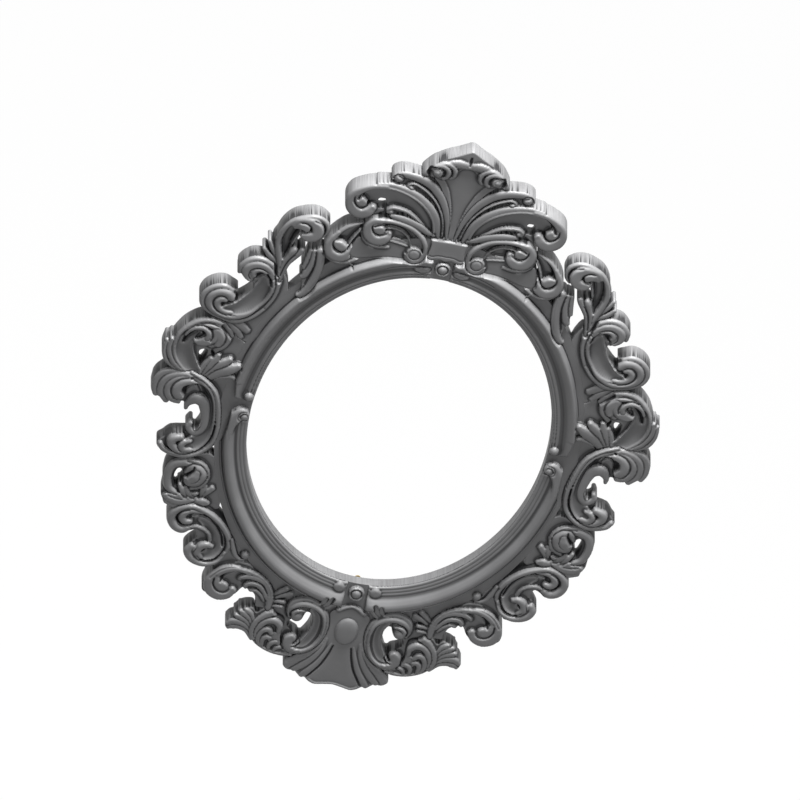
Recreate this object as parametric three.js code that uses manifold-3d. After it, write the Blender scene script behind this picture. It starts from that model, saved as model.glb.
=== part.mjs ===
import * as THREE from "three";
import { mergeVertices } from "three/addons/utils/BufferGeometryUtils.js";
import Module from "manifold-3d";

// Oval picture frame in carved wood, in millimetres.
// Origin: centre of the opening, on the back plane. +X right, +Z up to the crest, front towards -Y.
// A place on the carving is written [x, z] as seen from the front, with its height above the back plane.

const wasm = await Module();
wasm.setup();

// Opening and ring
const sightHalfWidth = 198.5;
const sightHalfHeight = 250.5;
const ringSideWidth = 41.5;
const ringTopWidth = 63.5;
const ringThickness = 20.5;
const rebateLip = 6;
const rebateDepth = 5;
const lapLevel = 10;
const lapHalfAngle = 6;
const jointAngle = 48;
const arcStep = 6;

// Mouldings on the ring
const mouldingSideWidth = 29;
const mouldingTopWidth = 38.5;
const upperMouldingSpan = [5, 84];
const lowerMouldingSpan = [-83, -5];
const mouldingStep = 8;
const mouldingEndRadius = 9;
const mouldingEndHeight = 33;
const mouldingEndInset = 5;

// Joints between pieces
const gap = 0.3;

// Rosettes and cabochon
const topRosetteOffset = 19;
const bottomRosetteOffset = 14;
const rosetteRadius = 11;
const rosetteTop = 30;
const cabochonDrop = 12;
const cabochonHalfWidth = 16;
const cabochonHalfHeight = 22;
const cabochonRise = 5;
const shellFieldTop = 25;

// Turn buttons
const buttonLength = 24;
const buttonWidth = 9;
const buttonThickness = 1.6;
const buttonReach = 4;
const buttonHoleRadius = 2;
const screwShankRadius = 1.8;
const screwHeadRadius = 3.6;
const screwHeadHeight = 1.8;
const screwDepth = 9;
const screwPointLength = 4;

// Hangers
const hangerX = 187;
const hangerZ = 158;
const strapWidth = 12;
const strapLength = 34;
const strapThickness = 1.2;
const hangerRodRadius = 1.25;
const eyeClearance = 0.4;
const eyeWall = 1.1;
const hangerRingWidth = 22;
const hangerRingLength = 15;
const hangerScrewDrop = 25;
const strapCorner = 3;

// The carving is drawn in units, on a ring of this many units, and keeps its place on any ring.
const unitsAcross = 240;
const unitsUpward = 314;
const unitsThick = 20.5;

const ringHalfWidth = sightHalfWidth + ringSideWidth;
const ringHalfHeight = sightHalfHeight + ringTopWidth;
const mouldingHalfWidth = sightHalfWidth + mouldingSideWidth;
const mouldingHalfHeight = sightHalfHeight + mouldingTopWidth;
const across = ringHalfWidth / unitsAcross;
const upward = ringHalfHeight / unitsUpward;
const spread = Math.min(across, upward);
const thicker = ringThickness / unitsThick;

// Materials
const finish = { color: 0x4d4d4f, roughness: 0.42, metalness: 0 };
const steel = { color: 0xb4b2ab, roughness: 0.35, metalness: 1 };
const brass = { color: 0xb08d4a, roughness: 0.38, metalness: 1 };

// Solids and geometries

function solidOf(geometry) {
  const bare = geometry.clone();
  for (const name of Object.keys(bare.attributes)) {
    if (name !== "position") bare.deleteAttribute(name);
  }
  const merged = mergeVertices(bare, 1e-4);
  const mesh = new wasm.Mesh({
    numProp: 3,
    vertProperties: new Float32Array(merged.attributes.position.array),
    triVerts: new Uint32Array(merged.index.array),
  });
  const solid = new wasm.Manifold(mesh);
  if (solid.volume() >= 0) return solid;
  const turned = new Uint32Array(merged.index.array);
  for (let i = 0; i < turned.length; i += 3) {
    const first = turned[i];
    turned[i] = turned[i + 1];
    turned[i + 1] = first;
  }
  return new wasm.Manifold(new wasm.Mesh({
    numProp: 3,
    vertProperties: mesh.vertProperties,
    triVerts: turned,
  }));
}

function geometryOf(solid) {
  const mesh = solid.getMesh();
  const geometry = new THREE.BufferGeometry();
  geometry.setAttribute("position", new THREE.BufferAttribute(new Float32Array(mesh.vertProperties), 3));
  geometry.setIndex(new THREE.BufferAttribute(new Uint32Array(mesh.triVerts), 1));
  return geometry;
}

function joined(solids) {
  return solids.reduce((sum, solid) => sum.add(solid));
}

// The largest body of a cut solid: the slivers that a cut leaves beside it are waste.
function mainBody(solid) {
  const bodies = solid.decompose();
  return bodies.reduce((best, body) => (body.volume() > best.volume() ? body : best));
}

function mirrored(geometry) {
  const copy = geometry.clone();
  copy.scale(-1, 1, 1);
  const index = copy.index.array;
  for (let i = 0; i < index.length; i += 3) {
    const first = index[i];
    index[i] = index[i + 1];
    index[i + 1] = first;
  }
  return copy;
}

// Lofting

function loftedSolid(sections, capOutline) {
  const count = sections[0].length;
  const positions = [];
  const index = [];
  for (const section of sections) {
    for (const point of section) positions.push(...point);
  }
  for (let i = 0; i + 1 < sections.length; i += 1) {
    for (let j = 0; j < count; j += 1) {
      const a = i * count + j;
      const b = i * count + ((j + 1) % count);
      index.push(a, b, a + count, b, b + count, a + count);
    }
  }
  const caps = [0, sections.length - 1];
  caps.forEach((row, end) => {
    const faces = THREE.ShapeUtils.triangulateShape(capOutline[end], []);
    for (const [a, b, c] of faces) {
      const start = row * count;
      if (end === 0) index.push(start + a, start + c, start + b);
      else index.push(start + a, start + b, start + c);
    }
  });
  const geometry = new THREE.BufferGeometry();
  geometry.setAttribute("position", new THREE.Float32BufferAttribute(positions, 3));
  geometry.setIndex(index);
  return solidOf(geometry);
}

// Cross-sections of the carved strokes: [share of the half width, drop below the crown],
// from the left edge to the right edge, looking along the stroke.
const sections = {
  roll: [[1, 4.5], [0.35, 0], [-0.35, 0], [-1, 4.5]],
  leaf: [[1, 4], [0, 0], [-1, 4]],
  dish: [[1, 2], [0.78, 0], [0, 5], [-0.78, 0], [-1, 2]],
};
const fullDropHalfWidth = 7;
const narrowestHalf = 0.8;
const tightestTurn = 0.9;
const longestTurn = 2.6;

// A shape that is grown is a cutter: it is upright from below the back plane to above every carving.
const cutterFoot = -1;
const cutterTop = 60;
const footOf = (grow) => (grow > 0 ? cutterFoot : 0);
const uprightSection = [[1, 0], [-1, 0]];

function stations(points, steps) {
  const path = new THREE.CatmullRomCurve3(points.map(([x, z]) => new THREE.Vector3(x, z, 0)));
  const sizes = new THREE.CatmullRomCurve3(points.map(([, , w, h]) => new THREE.Vector3(w, h, 0)));
  path.curveType = "catmullrom";
  sizes.curveType = "catmullrom";
  sizes.tension = 0.2;
  const count = (points.length - 1) * steps;
  const list = [];
  for (let i = 0; i <= count; i += 1) {
    const place = path.getPoint(i / count);
    const size = sizes.getPoint(i / count);
    list.push({
      x: place.x * across,
      z: place.y * upward,
      half: size.x * spread,
      top: size.y * thicker,
    });
  }
  return list;
}

function withNormals(list) {
  return list.map((here, i) => {
    const before = list[Math.max(i - 1, 0)];
    const after = list[Math.min(i + 1, list.length - 1)];
    const along = new THREE.Vector2(after.x - before.x, after.z - before.z);
    const first = new THREE.Vector2(here.x - before.x, here.z - before.z);
    const second = new THREE.Vector2(after.x - here.x, after.z - here.z);
    let turn = 0;
    if (first.length() > 0 && second.length() > 0) {
      turn = Math.atan2(first.cross(second), first.dot(second));
    }
    const bend = (2 * turn) / Math.max(along.length(), 0.1);
    along.normalize();
    return { ...here, nx: -along.y, nz: along.x, turn, bend };
  });
}

// A carved stroke: a section carried along a path, with upright sides down to the back plane.
function stroke(kind, points, steps = 1) {
  return (grow) => {
    const shape = grow > 0 ? uprightSection : sections[kind];
    const list = withNormals(stations(points, steps));
    const foot = footOf(grow);
    const rows = list.map((here) => {
      const half = Math.max(here.half, narrowestHalf) + grow;
      const leftHalf = here.bend > 0 ? Math.min(half, tightestTurn / here.bend) : half;
      const rightHalf = here.bend < 0 ? Math.min(half, -tightestTurn / here.bend) : half;
      const scale = Math.min(1, half / fullDropHalfWidth);
      const outline = [[-rightHalf, foot], [leftHalf, foot]];
      const top = grow > 0 ? cutterTop : here.top;
      for (const [share, drop] of shape) {
        const offset = share > 0 ? share * leftHalf : share * rightHalf;
        outline.push([offset, top - drop * scale]);
      }
      const ring = outline.map(([offset, height]) => (
        [here.x + here.nx * offset, -height, here.z + here.nz * offset]
      ));
      return { ring, outline, turn: Math.abs(here.turn) };
    });
    const parts = [];
    let start = 0;
    let turned = 0;
    for (let i = 1; i < rows.length; i += 1) {
      turned += rows[i].turn;
      if (turned > longestTurn || i === rows.length - 1) {
        const run = rows.slice(start, i + 1);
        const ends = [run[0], run[run.length - 1]].map(({ outline }) => (
          outline.map(([offset, height]) => new THREE.Vector2(offset, height))
        ));
        parts.push(loftedSolid(run.map(({ ring }) => ring), ends));
        start = i;
        turned = 0;
      }
    }
    return joined(parts);
  };
}

function turnedSolid(x, z, profile, segments) {
  const points = profile.map(([radius, height]) => new THREE.Vector2(radius, height));
  const geometry = new THREE.LatheGeometry(points, segments);
  geometry.rotateX(Math.PI);
  geometry.translate(x, 0, z);
  return solidOf(geometry);
}

// An upright side under a turned face, or the plain cutter round it.
function uprightProfile(outer, face, grow, low = 0) {
  if (grow > 0) return [[0, cutterFoot], [outer, cutterFoot], [outer, cutterTop], [0, cutterTop]];
  return [[0, low], [outer, low], ...face];
}

// A scroll's eye: a raised rim, the crease inside it and the domed boss, turned about the eye.
const rimDrop = 0.8;
const creaseDrop = 3.5;
const bossRise = 0.8;
const creaseShare = 0.55;
const smallVolute = 22;

function volute(x, z, radius, top, segments = radius > smallVolute ? 10 : 8) {
  return (grow) => {
    const high = top * thicker;
    const outer = radius * spread + grow;
    const face = [[outer, high - rimDrop], [outer * creaseShare, high - creaseDrop], [0, high + bossRise]];
    return turnedSolid(x * across, z * upward, uprightProfile(outer, face, grow), segments);
  };
}

// A round bead: an upright side up to its shoulder, and a cone over it.
function ball(x, z, radius, top, segments = 6) {
  return (grow) => {
    const high = top * thicker;
    const outer = radius * spread + grow;
    const face = [[outer, high - radius * 0.6], [outer * 0.55, high - radius * 0.1], [0, high]];
    return turnedSolid(x * across, z * upward, uprightProfile(outer, face, grow), segments);
  };
}

function widened(outline, grow) {
  const count = outline.length;
  const area = THREE.ShapeUtils.area(outline);
  const side = area > 0 ? 1 : -1;
  return outline.map((here, i) => {
    const before = outline[(i + count - 1) % count];
    const after = outline[(i + 1) % count];
    const first = here.clone().sub(before).normalize();
    const second = after.clone().sub(here).normalize();
    const normal = new THREE.Vector2(first.y + second.y, -first.x - second.x).normalize();
    return here.clone().addScaledVector(normal, grow * side);
  });
}

function slab(outline, low, high) {
  const geometry = new THREE.ExtrudeGeometry(new THREE.Shape(outline), {
    depth: high - low,
    bevelEnabled: false,
    steps: 1,
  });
  geometry.rotateX(Math.PI / 2);
  geometry.translate(0, -low, 0);
  return solidOf(geometry);
}

// A flat field between the strokes.
function field(points, top) {
  return (grow) => {
    const outline = points.map(([x, z]) => new THREE.Vector2(x * across, z * upward));
    return slab(widened(outline, grow), footOf(grow), grow > 0 ? cutterTop : top * thicker);
  };
}

const roll = (points, steps) => stroke("roll", points, steps);
const leaf = (points, steps) => stroke("leaf", points, steps);
const dish = (points, steps) => stroke("dish", points, steps);

// Ellipses of the ring

function onOval(halfWidth, halfHeight, degrees) {
  const angle = THREE.MathUtils.degToRad(degrees);
  return new THREE.Vector2(halfWidth * Math.cos(angle), halfHeight * Math.sin(angle));
}

function ovalOutline(halfWidth, halfHeight) {
  const outline = [];
  for (let angle = 0; angle < 360; angle += arcStep) outline.push(onOval(halfWidth, halfHeight, angle));
  return outline;
}

function arcSlab(inner, outer, from, to, low, high) {
  const outline = [];
  for (let angle = from; angle <= to; angle += arcStep) outline.push(onOval(...outer, angle));
  for (let angle = to; angle >= from; angle -= arcStep) outline.push(onOval(...inner, angle));
  return slab(outline, low, high);
}

const sightOval = [sightHalfWidth, sightHalfHeight];
const ringOval = [ringHalfWidth, ringHalfHeight];
const rebateOval = [sightHalfWidth + rebateLip, sightHalfHeight + rebateLip];

// A felloe runs between two joints. Its front laps over the neighbours' ends, or its back does under them.
function felloe(from, to, frontIsLong) {
  const short = [from + lapHalfAngle, to - lapHalfAngle];
  const long = [from - lapHalfAngle, to + lapHalfAngle];
  const back = frontIsLong ? short : long;
  const front = frontIsLong ? long : short;
  const level = frontIsLong ? lapLevel + gap : lapLevel;
  return joined([
    arcSlab(rebateOval, ringOval, ...back, 0, rebateDepth),
    arcSlab(sightOval, ringOval, ...back, rebateDepth, level),
    arcSlab(sightOval, ringOval, ...front, level, ringThickness),
  ]);
}

// The neighbour's end face is set back by the gap across the joint.
function setBack(solid, angles, low, high) {
  return angles.reduce((rest, angle) => {
    const inner = onOval(sightHalfWidth - rebateLip, sightHalfHeight - rebateLip, angle);
    const outer = onOval(ringHalfWidth + rebateLip, ringHalfHeight + rebateLip, angle);
    const along = outer.clone().sub(inner).normalize();
    const side = new THREE.Vector2(-along.y, along.x).multiplyScalar(gap);
    const outline = [
      inner.clone().sub(side), outer.clone().sub(side), outer.clone().add(side), inner.clone().add(side),
    ];
    return rest.subtract(slab(outline, low, high));
  }, solid);
}

function ringPieces() {
  const joints = [jointAngle, 180 - jointAngle, 180 + jointAngle, 360 - jointAngle];
  const shortEnds = joints.flatMap((angle) => [angle - lapHalfAngle, angle + lapHalfAngle]);
  const made = {
    ring_top: felloe(joints[0], joints[1], true),
    ring_bottom: felloe(joints[2], joints[3], true),
    ring_right: felloe(joints[3] - 360, joints[0], false),
    ring_left: felloe(joints[1], joints[2], false),
  };
  for (const name of ["ring_right", "ring_left"]) {
    made[name] = mainBody(setBack(made[name], shortEnds, -1, ringThickness + 1));
  }
  return made;
}

// Moulding arcs: [share from the sight edge to the outer edge, height].
const upperMouldingSection = [[0, 23.3], [0.17, 25], [0.33, 24], [0.6, 32], [0.82, 34], [1, 26]];
const lowerMouldingSection = [[0, 23.3], [0.22, 25], [0.42, 24.2], [0.62, 32], [0.82, 33.2], [1, 24.5]];

function mouldingArc(section, [from, to]) {
  const low = ringThickness + gap;
  const rows = [];
  const count = Math.round((to - from) / mouldingStep);
  for (let i = 0; i <= count; i += 1) {
    const angle = from + ((to - from) * i) / count;
    const crown = section.map(([share, height]) => [share, height * thicker]).reverse();
    const outline = [[0, low], [1, low], ...crown];
    const row = outline.map(([share, height]) => {
      const halfWidth = THREE.MathUtils.lerp(sightHalfWidth, mouldingHalfWidth, share);
      const halfHeight = THREE.MathUtils.lerp(sightHalfHeight, mouldingHalfHeight, share);
      const place = onOval(halfWidth, halfHeight, angle);
      return [place.x, -height, place.y];
    });
    rows.push(row);
  }
  const cap = [[0, low], [1, low], ...[...section].reverse()].map(([share, height]) => (
    new THREE.Vector2(share * mouldingSideWidth, height)
  ));
  return loftedSolid(rows, [cap, cap]);
}

// The carved pieces of the right half. Points are [x, z, half width, height] along each stroke.

const carvings = [
  {
    name: "crest_band",
    whole: true,
    strokes: [
      field([[-24, 312], [-20, 314], [20, 314], [24, 312], [23, 300], [24, 288], [21, 283], [12, 284.5],
        [0, 282.5], [-12, 284.5], [-21, 283], [-24, 288], [-23, 300]], 25.5),
      roll([[-22, 307, 3, 27], [-10, 308, 6, 28.5], [0, 308, 7, 29], [10, 308, 6, 28.5], [22, 307, 3, 27]], 1),
      leaf([[-21, 288, 2.5, 27], [-10, 290, 3.5, 28], [0, 288, 4, 28], [10, 290, 3.5, 28], [21, 288, 2.5, 27]]),
    ],
  },
  {
    name: "crest_mid_scroll",
    strokes: [
      field([[34, 296], [40, 318], [60, 328], [90, 330], [108, 320], [100, 296], [78, 298], [53, 295]], 19),
      roll([[28, 289, 4.5, 26.5], [30, 301, 5, 27], [37, 313, 5.5, 27], [47, 321.5, 5, 26.5],
        [60, 327.5, 5, 26], [75, 330, 5, 26], [92, 330, 7, 26], [106, 325, 8, 26.5]]),
      leaf([[25, 313, 3, 23], [36, 322, 5, 25], [52, 332, 5, 25], [68, 337, 5, 25], [82, 339, 3.5, 24]]),
      volute(97, 308, 23, 27.5),
      volute(42.5, 287, 14, 28),
      leaf([[51, 299, 3, 22], [56, 310, 4, 23], [68, 318.5, 4, 23], [84, 320, 4, 23]]),
    ],
  },
  {
    name: "crest_large_frond",
    strokes: [
      field([[13, 316], [22, 345], [42, 372], [60, 385], [85, 391], [112, 385], [132, 372], [118, 356],
        [105, 346], [105, 362], [92, 362], [92, 350], [80, 357], [60, 352], [40, 336], [27, 318]], 19),
      roll([[19, 322, 4, 22], [26, 344, 5, 22.5], [37, 363, 6, 23], [54, 379, 6.5, 24], [72, 386, 5, 24],
        [90, 388.5, 5, 24], [108, 385, 6, 25], [124, 379, 7, 26], [137, 369, 8, 27]]),
      volute(127, 350, 21.5, 28.5),
      leaf([[29, 322, 3, 21], [40, 336, 4, 22], [54, 348, 4, 22.5], [70, 355, 4, 22.5], [86, 354, 4, 23]]),
      ball(86.3, 349, 5.5, 24),
      ball(67.5, 388, 5.5, 24),
    ],
  },
  {
    name: "crest_upper_frond",
    strokes: [
      field([[9, 316], [14, 350], [25, 385], [40, 408], [62, 411], [82, 412], [84, 396], [62, 390],
        [42, 376], [26, 352], [17, 322], [13, 314]], 19),
      leaf([[10, 322, 3, 22.5], [14.5, 348, 4, 22.5], [22, 370, 5, 23], [35, 391, 6, 23.5],
        [52, 403, 6.5, 24], [70, 407.5, 6, 24], [85, 406, 6, 24.5]]),
      volute(86.5, 402.5, 10.5, 25),
    ],
  },
  {
    name: "crest_plaque",
    whole: true,
    strokes: [
      field([[0, 462.5], [25, 449], [45, 435], [57, 420], [58, 410], [44, 404], [26, 380],
        [14, 316], [-14, 316], [-26, 380], [-44, 404], [-58, 410], [-57, 420],
        [-45, 435], [-25, 449]], 20),
      leaf([[8, 316, 2.5, 22], [13, 360, 4, 23], [34, 410, 6, 24]]),
      leaf([[-8, 316, 2.5, 22], [-13, 360, 4, 23], [-34, 410, 6, 24]]),
      roll([[53, 417, 5, 25], [36, 439, 8, 26], [14, 447, 9, 26], [0, 449, 12, 25.5],
        [-14, 447, 9, 26], [-36, 439, 8, 26], [-53, 417, 5, 25]]),
      volute(38, 427, 14.5, 29),
      volute(-38, 427, 14.5, 29),
    ],
  },
  {
    name: "shoulder_scroll",
    strokes: [
      dish([[172, 306, 9, 29.5], [187, 309, 9.5, 30], [200, 303, 11, 29.5], [208, 290, 12, 29],
        [212, 272, 13, 28], [213, 254, 13, 27], [212, 236, 12, 26], [210, 218, 9, 25]]),
      volute(183, 299, 21.5, 32),
      leaf([[202, 232, 4, 24], [194, 243, 4.5, 26], [190, 251, 5.5, 27], [187, 258, 1.5, 24]]),
      leaf([[204, 240, 4, 24], [200, 252, 5, 27], [201, 263, 1.5, 24]]),
      leaf([[214, 244, 6, 25], [226, 254, 5, 25.5], [234, 266, 1.5, 23]]),
      leaf([[214, 232, 5, 25], [228, 241, 5, 25.5], [239, 252, 1.5, 23]]),
    ],
  },
  {
    name: "crest_side_scroll",
    strokes: [
      field([[113, 318], [135, 311], [150, 296], [157, 270], [132, 270], [129, 288], [122, 300]], 18),
      roll([[118, 317, 4, 24], [132, 313.5, 6, 26], [144, 305, 7, 27], [151, 293, 7.5, 28],
        [152, 281, 8, 29]]),
      leaf([[115, 314, 3, 21], [123, 301, 3, 23], [128, 289, 3, 24], [130, 278, 4, 27]]),
      volute(136.5, 273, 24, 31),
    ],
  },
  {
    name: "middle_scroll",
    strokes: [
      field([[228, 36], [226, -60], [246, -70], [246, 0], [262, 24]], 20.5),
      dish([[288, 28, 12, 30], [268, 19, 13, 30], [254, 2, 15, 30], [246, -20, 16, 29],
        [245, -44, 16, 29], [252, -66, 15, 29], [267, -80, 14, 29], [284, -83, 13, 30]]),
      volute(306, 10, 29.6, 31, 12),
      volute(288, -80, 20, 31),
      leaf([[286, -22, 4, 25], [280, -13, 5, 26], [269, -11, 6, 27], [260, -19, 6, 27], [256, -33, 6, 27],
        [257, -47, 6, 27], [266, -54, 5, 26], [276, -49, 3, 25]]),
    ],
  },
  {
    name: "upper_scroll",
    strokes: [
      field([[200, 214], [192, 180], [212, 140], [228, 98], [250, 128], [224, 168], [212, 206]], 20.5),
      dish([[221, 212, 14, 29], [221, 192, 17, 29], [228, 172, 18, 28.5], [240, 155, 17, 28.5],
        [257, 143.5, 15, 29], [274, 146, 13, 30]]),
      volute(236, 214, 26.5, 30.5),
      volute(277, 160, 26.5, 30.5),
      leaf([[256, 130, 5, 25], [243, 122, 4.5, 25.5], [230, 116, 1.5, 23.5]]),
      leaf([[256, 130, 5, 25], [245, 114, 4.5, 25.5], [236, 104, 1.5, 23.5]]),
      leaf([[257, 130, 4, 25], [250, 115, 4, 25.5], [245, 103, 1.5, 23.5]]),
    ],
  },
  {
    name: "cheek_scroll",
    strokes: [
      field([[228, 108], [230, 36], [256, 36], [256, 104]], 20.5),
      dish([[290, 111, 12, 31], [303, 99, 14, 30], [310, 82, 18, 29], [309, 64, 21, 28],
        [300, 48, 19, 27], [288, 36, 12, 26]]),
      volute(279, 103, 27, 31.5),
      leaf([[284, 26, 7, 26], [256, 30, 5.5, 26.5], [231, 40, 2, 25]]),
      leaf([[286, 30, 7, 27], [256, 44, 6, 28], [227, 56, 2, 26]]),
      leaf([[288, 34, 7, 27], [260, 53, 6, 28.5], [240, 68, 2, 27]]),
      leaf([[288, 36, 6, 27], [268, 56, 5.5, 28], [261, 74, 2, 27]]),
    ],
  },
  {
    name: "hip_scroll",
    strokes: [
      field([[208, -168], [160, -222], [146, -244], [168, -253], [200, -256], [196, -204], [222, -178]], 20.5),
      dish([[240, -180, 13, 30], [222, -184, 14, 30], [206, -194, 15, 30], [195, -210, 16, 29],
        [193, -228, 15, 29], [202, -243, 14, 29]]),
      volute(246.5, -192.5, 26, 31),
      volute(213, -240, 25, 30),
      leaf([[186, -206, 5, 25], [177, -221, 4, 25], [169, -232, 4, 25], [160, -239, 4, 26]]),
      ball(155.8, -235.5, 6.5, 27),
    ],
  },
  {
    name: "lower_scroll",
    strokes: [
      field([[228, -92], [206, -172], [268, -178], [278, -160], [266, -152], [262, -132],
        [262, -102]], 20.5),
      roll([[256, -103, 6, 27], [270, -105, 6.5, 27], [280, -113, 6.5, 27], [284, -128, 6.5, 27],
        [282, -145, 6.5, 27], [270, -158, 7, 26]], 1),
      volute(252.5, -120, 22, 31),
      leaf([[246, -160, 6, 26], [266, -156, 5.5, 29], [287, -148, 2, 28]]),
      leaf([[246, -168, 6, 26], [268, -164, 6, 29.5], [287, -161, 2, 28]]),
      leaf([[250, -175, 5, 26], [268, -172, 5.5, 28], [282, -171, 2, 27]]),
      leaf([[246, -160, 5, 24], [234, -152, 4, 25], [224, -139, 1.5, 23]]),
    ],
  },
  {
    name: "foot_scroll",
    strokes: [
      field([[112, -272], [128, -260], [150, -254], [160, -276], [146, -289], [128, -300], [108, -308]], 22),
      roll([[190, -268, 10, 30], [177, -259, 9, 30], [159, -254.5, 8, 30], [141, -258, 9, 29],
        [126, -267, 10, 28.5], [114, -281, 10, 28], [108, -298, 9, 27]]),
      volute(178, -286, 25, 31),
      leaf([[112, -294, 5, 27], [128, -275, 6, 28], [148, -270, 5, 28], [160, -268, 3, 27]]),
      leaf([[114, -302, 5, 27], [128, -286, 6, 28], [146, -288, 3, 27]]),
      leaf([[110, -292, 4, 24], [98, -280, 4, 24.5], [88, -273, 1.5, 23]]),
      leaf([[108, -300, 4, 24], [94, -292, 4, 24.5], [81, -283, 1.5, 23]]),
    ],
  },
  {
    name: "bottom_scroll",
    strokes: [
      dish([[62, -297, 10, 30], [49, -302, 11, 30], [39, -314, 11.5, 29], [36.5, -330, 11.5, 28.5],
        [41, -346, 12, 28.5], [52, -359, 12, 29]]),
      volute(66, -304, 18.5, 31),
      volute(66, -360, 16.5, 30),
      leaf([[44, -296, 5, 25], [35, -284, 4, 25], [29, -275, 1.5, 23]]),
    ],
  },
  {
    name: "foot_leaves",
    strokes: [
      field([[80, -325], [100, -314], [126, -314], [132, -350], [118, -368], [96, -381], [70, -384],
        [84, -352]], 21),
      leaf([[82, -342, 4.5, 27], [87, -330, 5, 28.5], [100, -323, 6, 29], [115, -332, 6, 29],
        [118, -352, 5.5, 29]]),
      leaf([[94, -338, 5, 28], [109, -346, 6, 29], [109, -373, 2, 26]]),
      leaf([[84, -352, 5, 28], [99, -359, 6, 28.5], [99, -380, 2, 26]]),
      leaf([[118, -345, 4, 26], [123, -328, 5, 27], [134, -316, 2, 25]]),
      leaf([[120, -350, 4, 26], [131, -333, 5.5, 27.5], [146, -323, 2, 25]]),
      leaf([[120, -356, 4, 26], [135, -342, 5.5, 27.5], [151, -335, 2, 25]]),
      leaf([[118, -361, 4, 26], [137, -350, 5, 27.5], [157, -350, 2, 25]]),
    ],
  },
  {
    name: "drop_leaf",
    strokes: [
      leaf([[166, 262, 7, 25], [161, 243, 7.5, 27], [160, 225, 7, 28], [165, 203, 6, 28], [175, 187, 2, 26]]),
      leaf([[164, 246, 5, 26], [173, 236, 4.5, 26.5], [180, 222, 1.5, 24]]),
    ],
  },
  {
    name: "shell",
    whole: true,
    strokes: [
      field([[0, -283], [20, -294], [27, -310], [25, -335], [36, -362], [60, -382], [66, -394],
        [44, -408], [24, -415], [0, -413.5], [-24, -415], [-44, -408], [-66, -394], [-60, -382],
        [-36, -362], [-25, -335], [-27, -310], [-20, -294]], shellFieldTop),
      ...[1, -1].flatMap((side) => [
        leaf([[side * 8, -352, 3, 26], [side * 17, -386, 6, 28], [side * 26, -417, 4, 26]]),
        leaf([[side * 17, -350, 3, 26], [side * 30, -382, 6, 28], [side * 46, -409, 4, 26]]),
        leaf([[side * 25, -348, 3, 26], [side * 45, -379, 6, 28], [side * 67, -397, 4, 26]]),
      ]),
    ],
  },
];

function carvedSolid(carving, grow) {
  return joined(carving.strokes.map((make) => make(grow)));
}

function boxesMeet(a, b) {
  const first = a.boundingBox();
  const second = b.boundingBox();
  return [0, 1, 2].every((k) => first.min[k] <= second.max[k] && second.min[k] <= first.max[k]);
}

// Everything carved laps over the ring's face, clear of it by the gap.
function ringClearance() {
  return slab(ovalOutline(ringHalfWidth + gap, ringHalfHeight + gap), -gap, ringThickness + gap);
}

// A rosette on the ring's face: a thin rim round a domed boss.
function rosette(height, grow) {
  const radius = rosetteRadius + grow;
  const top = rosetteTop * thicker;
  const face = [[radius, top - 2.6], [radius * 0.74, top - 4], [radius * 0.5, top - 0.6], [0, top + 0.4]];
  return turnedSolid(0, height, uprightProfile(radius, face, grow, ringThickness + gap), 12);
}

const topRosette = sightHalfHeight + topRosetteOffset;
const bottomRosette = -sightHalfHeight - bottomRosetteOffset;

// The oval cabochon on the shell's field, below the ring.
function cabochonSolid() {
  const base = shellFieldTop * thicker + gap;
  const profile = [[0, base], [1, base], [0.92, base + cabochonRise * 0.6], [0, base + cabochonRise]];
  const points = profile.map(([share, level]) => new THREE.Vector2(share, level));
  const geometry = new THREE.LatheGeometry(points, 16);
  geometry.rotateX(Math.PI);
  geometry.scale(cabochonHalfWidth, 1, cabochonHalfHeight);
  geometry.translate(0, 0, -ringHalfHeight - cabochonDrop);
  return solidOf(geometry);
}

const frame = new THREE.Group();

function addMesh(name, geometry, look, parent = frame) {
  const mesh = new THREE.Mesh(geometry, new THREE.MeshStandardMaterial(look));
  geometry.computeVertexNormals();
  mesh.name = name;
  parent.add(mesh);
  return mesh;
}

function addPair(name, solid) {
  const right = geometryOf(solid);
  addMesh(`${name}_right`, right, finish);
  addMesh(`${name}_left`, mirrored(right), finish);
}

for (const [name, solid] of Object.entries(ringPieces())) addMesh(name, geometryOf(solid), finish);

// Each carving is cut clear of the ring, the rosettes and the carvings made before it.
const clearance = ringClearance();
const cutters = [rosette(topRosette, gap), rosette(bottomRosette, gap)];
const carved = [];
for (const carving of carvings) {
  let solid = carvedSolid(carving, 0).subtract(clearance);
  for (const cutter of cutters) {
    if (boxesMeet(solid, cutter)) solid = solid.subtract(cutter);
  }
  solid = mainBody(solid);
  carved.push({ carving, solid });
  const grown = carvedSolid(carving, gap);
  cutters.push(grown);
  if (!carving.whole) cutters.push(solidOf(mirrored(geometryOf(grown))));
}
for (const { carving, solid } of carved) {
  if (carving.whole) addMesh(carving.name, geometryOf(solid), finish);
  else addPair(carving.name, solid);
}

addMesh("rosette_top", geometryOf(rosette(topRosette, 0)), finish);
addMesh("rosette_bottom", geometryOf(rosette(bottomRosette, 0)), finish);
addMesh("cabochon", geometryOf(cabochonSolid()), finish);

// The scrolled end of a moulding arc.
function mouldingEnd(degrees, radius, profile) {
  const halfWidth = (sightHalfWidth + mouldingHalfWidth) / 2 - mouldingEndInset;
  const halfHeight = (sightHalfHeight + mouldingHalfHeight) / 2 - mouldingEndInset;
  const place = onOval(halfWidth, halfHeight, degrees);
  return turnedSolid(place.x, place.y, profile.map(([share, height]) => [share * radius, height]), 12);
}

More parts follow.
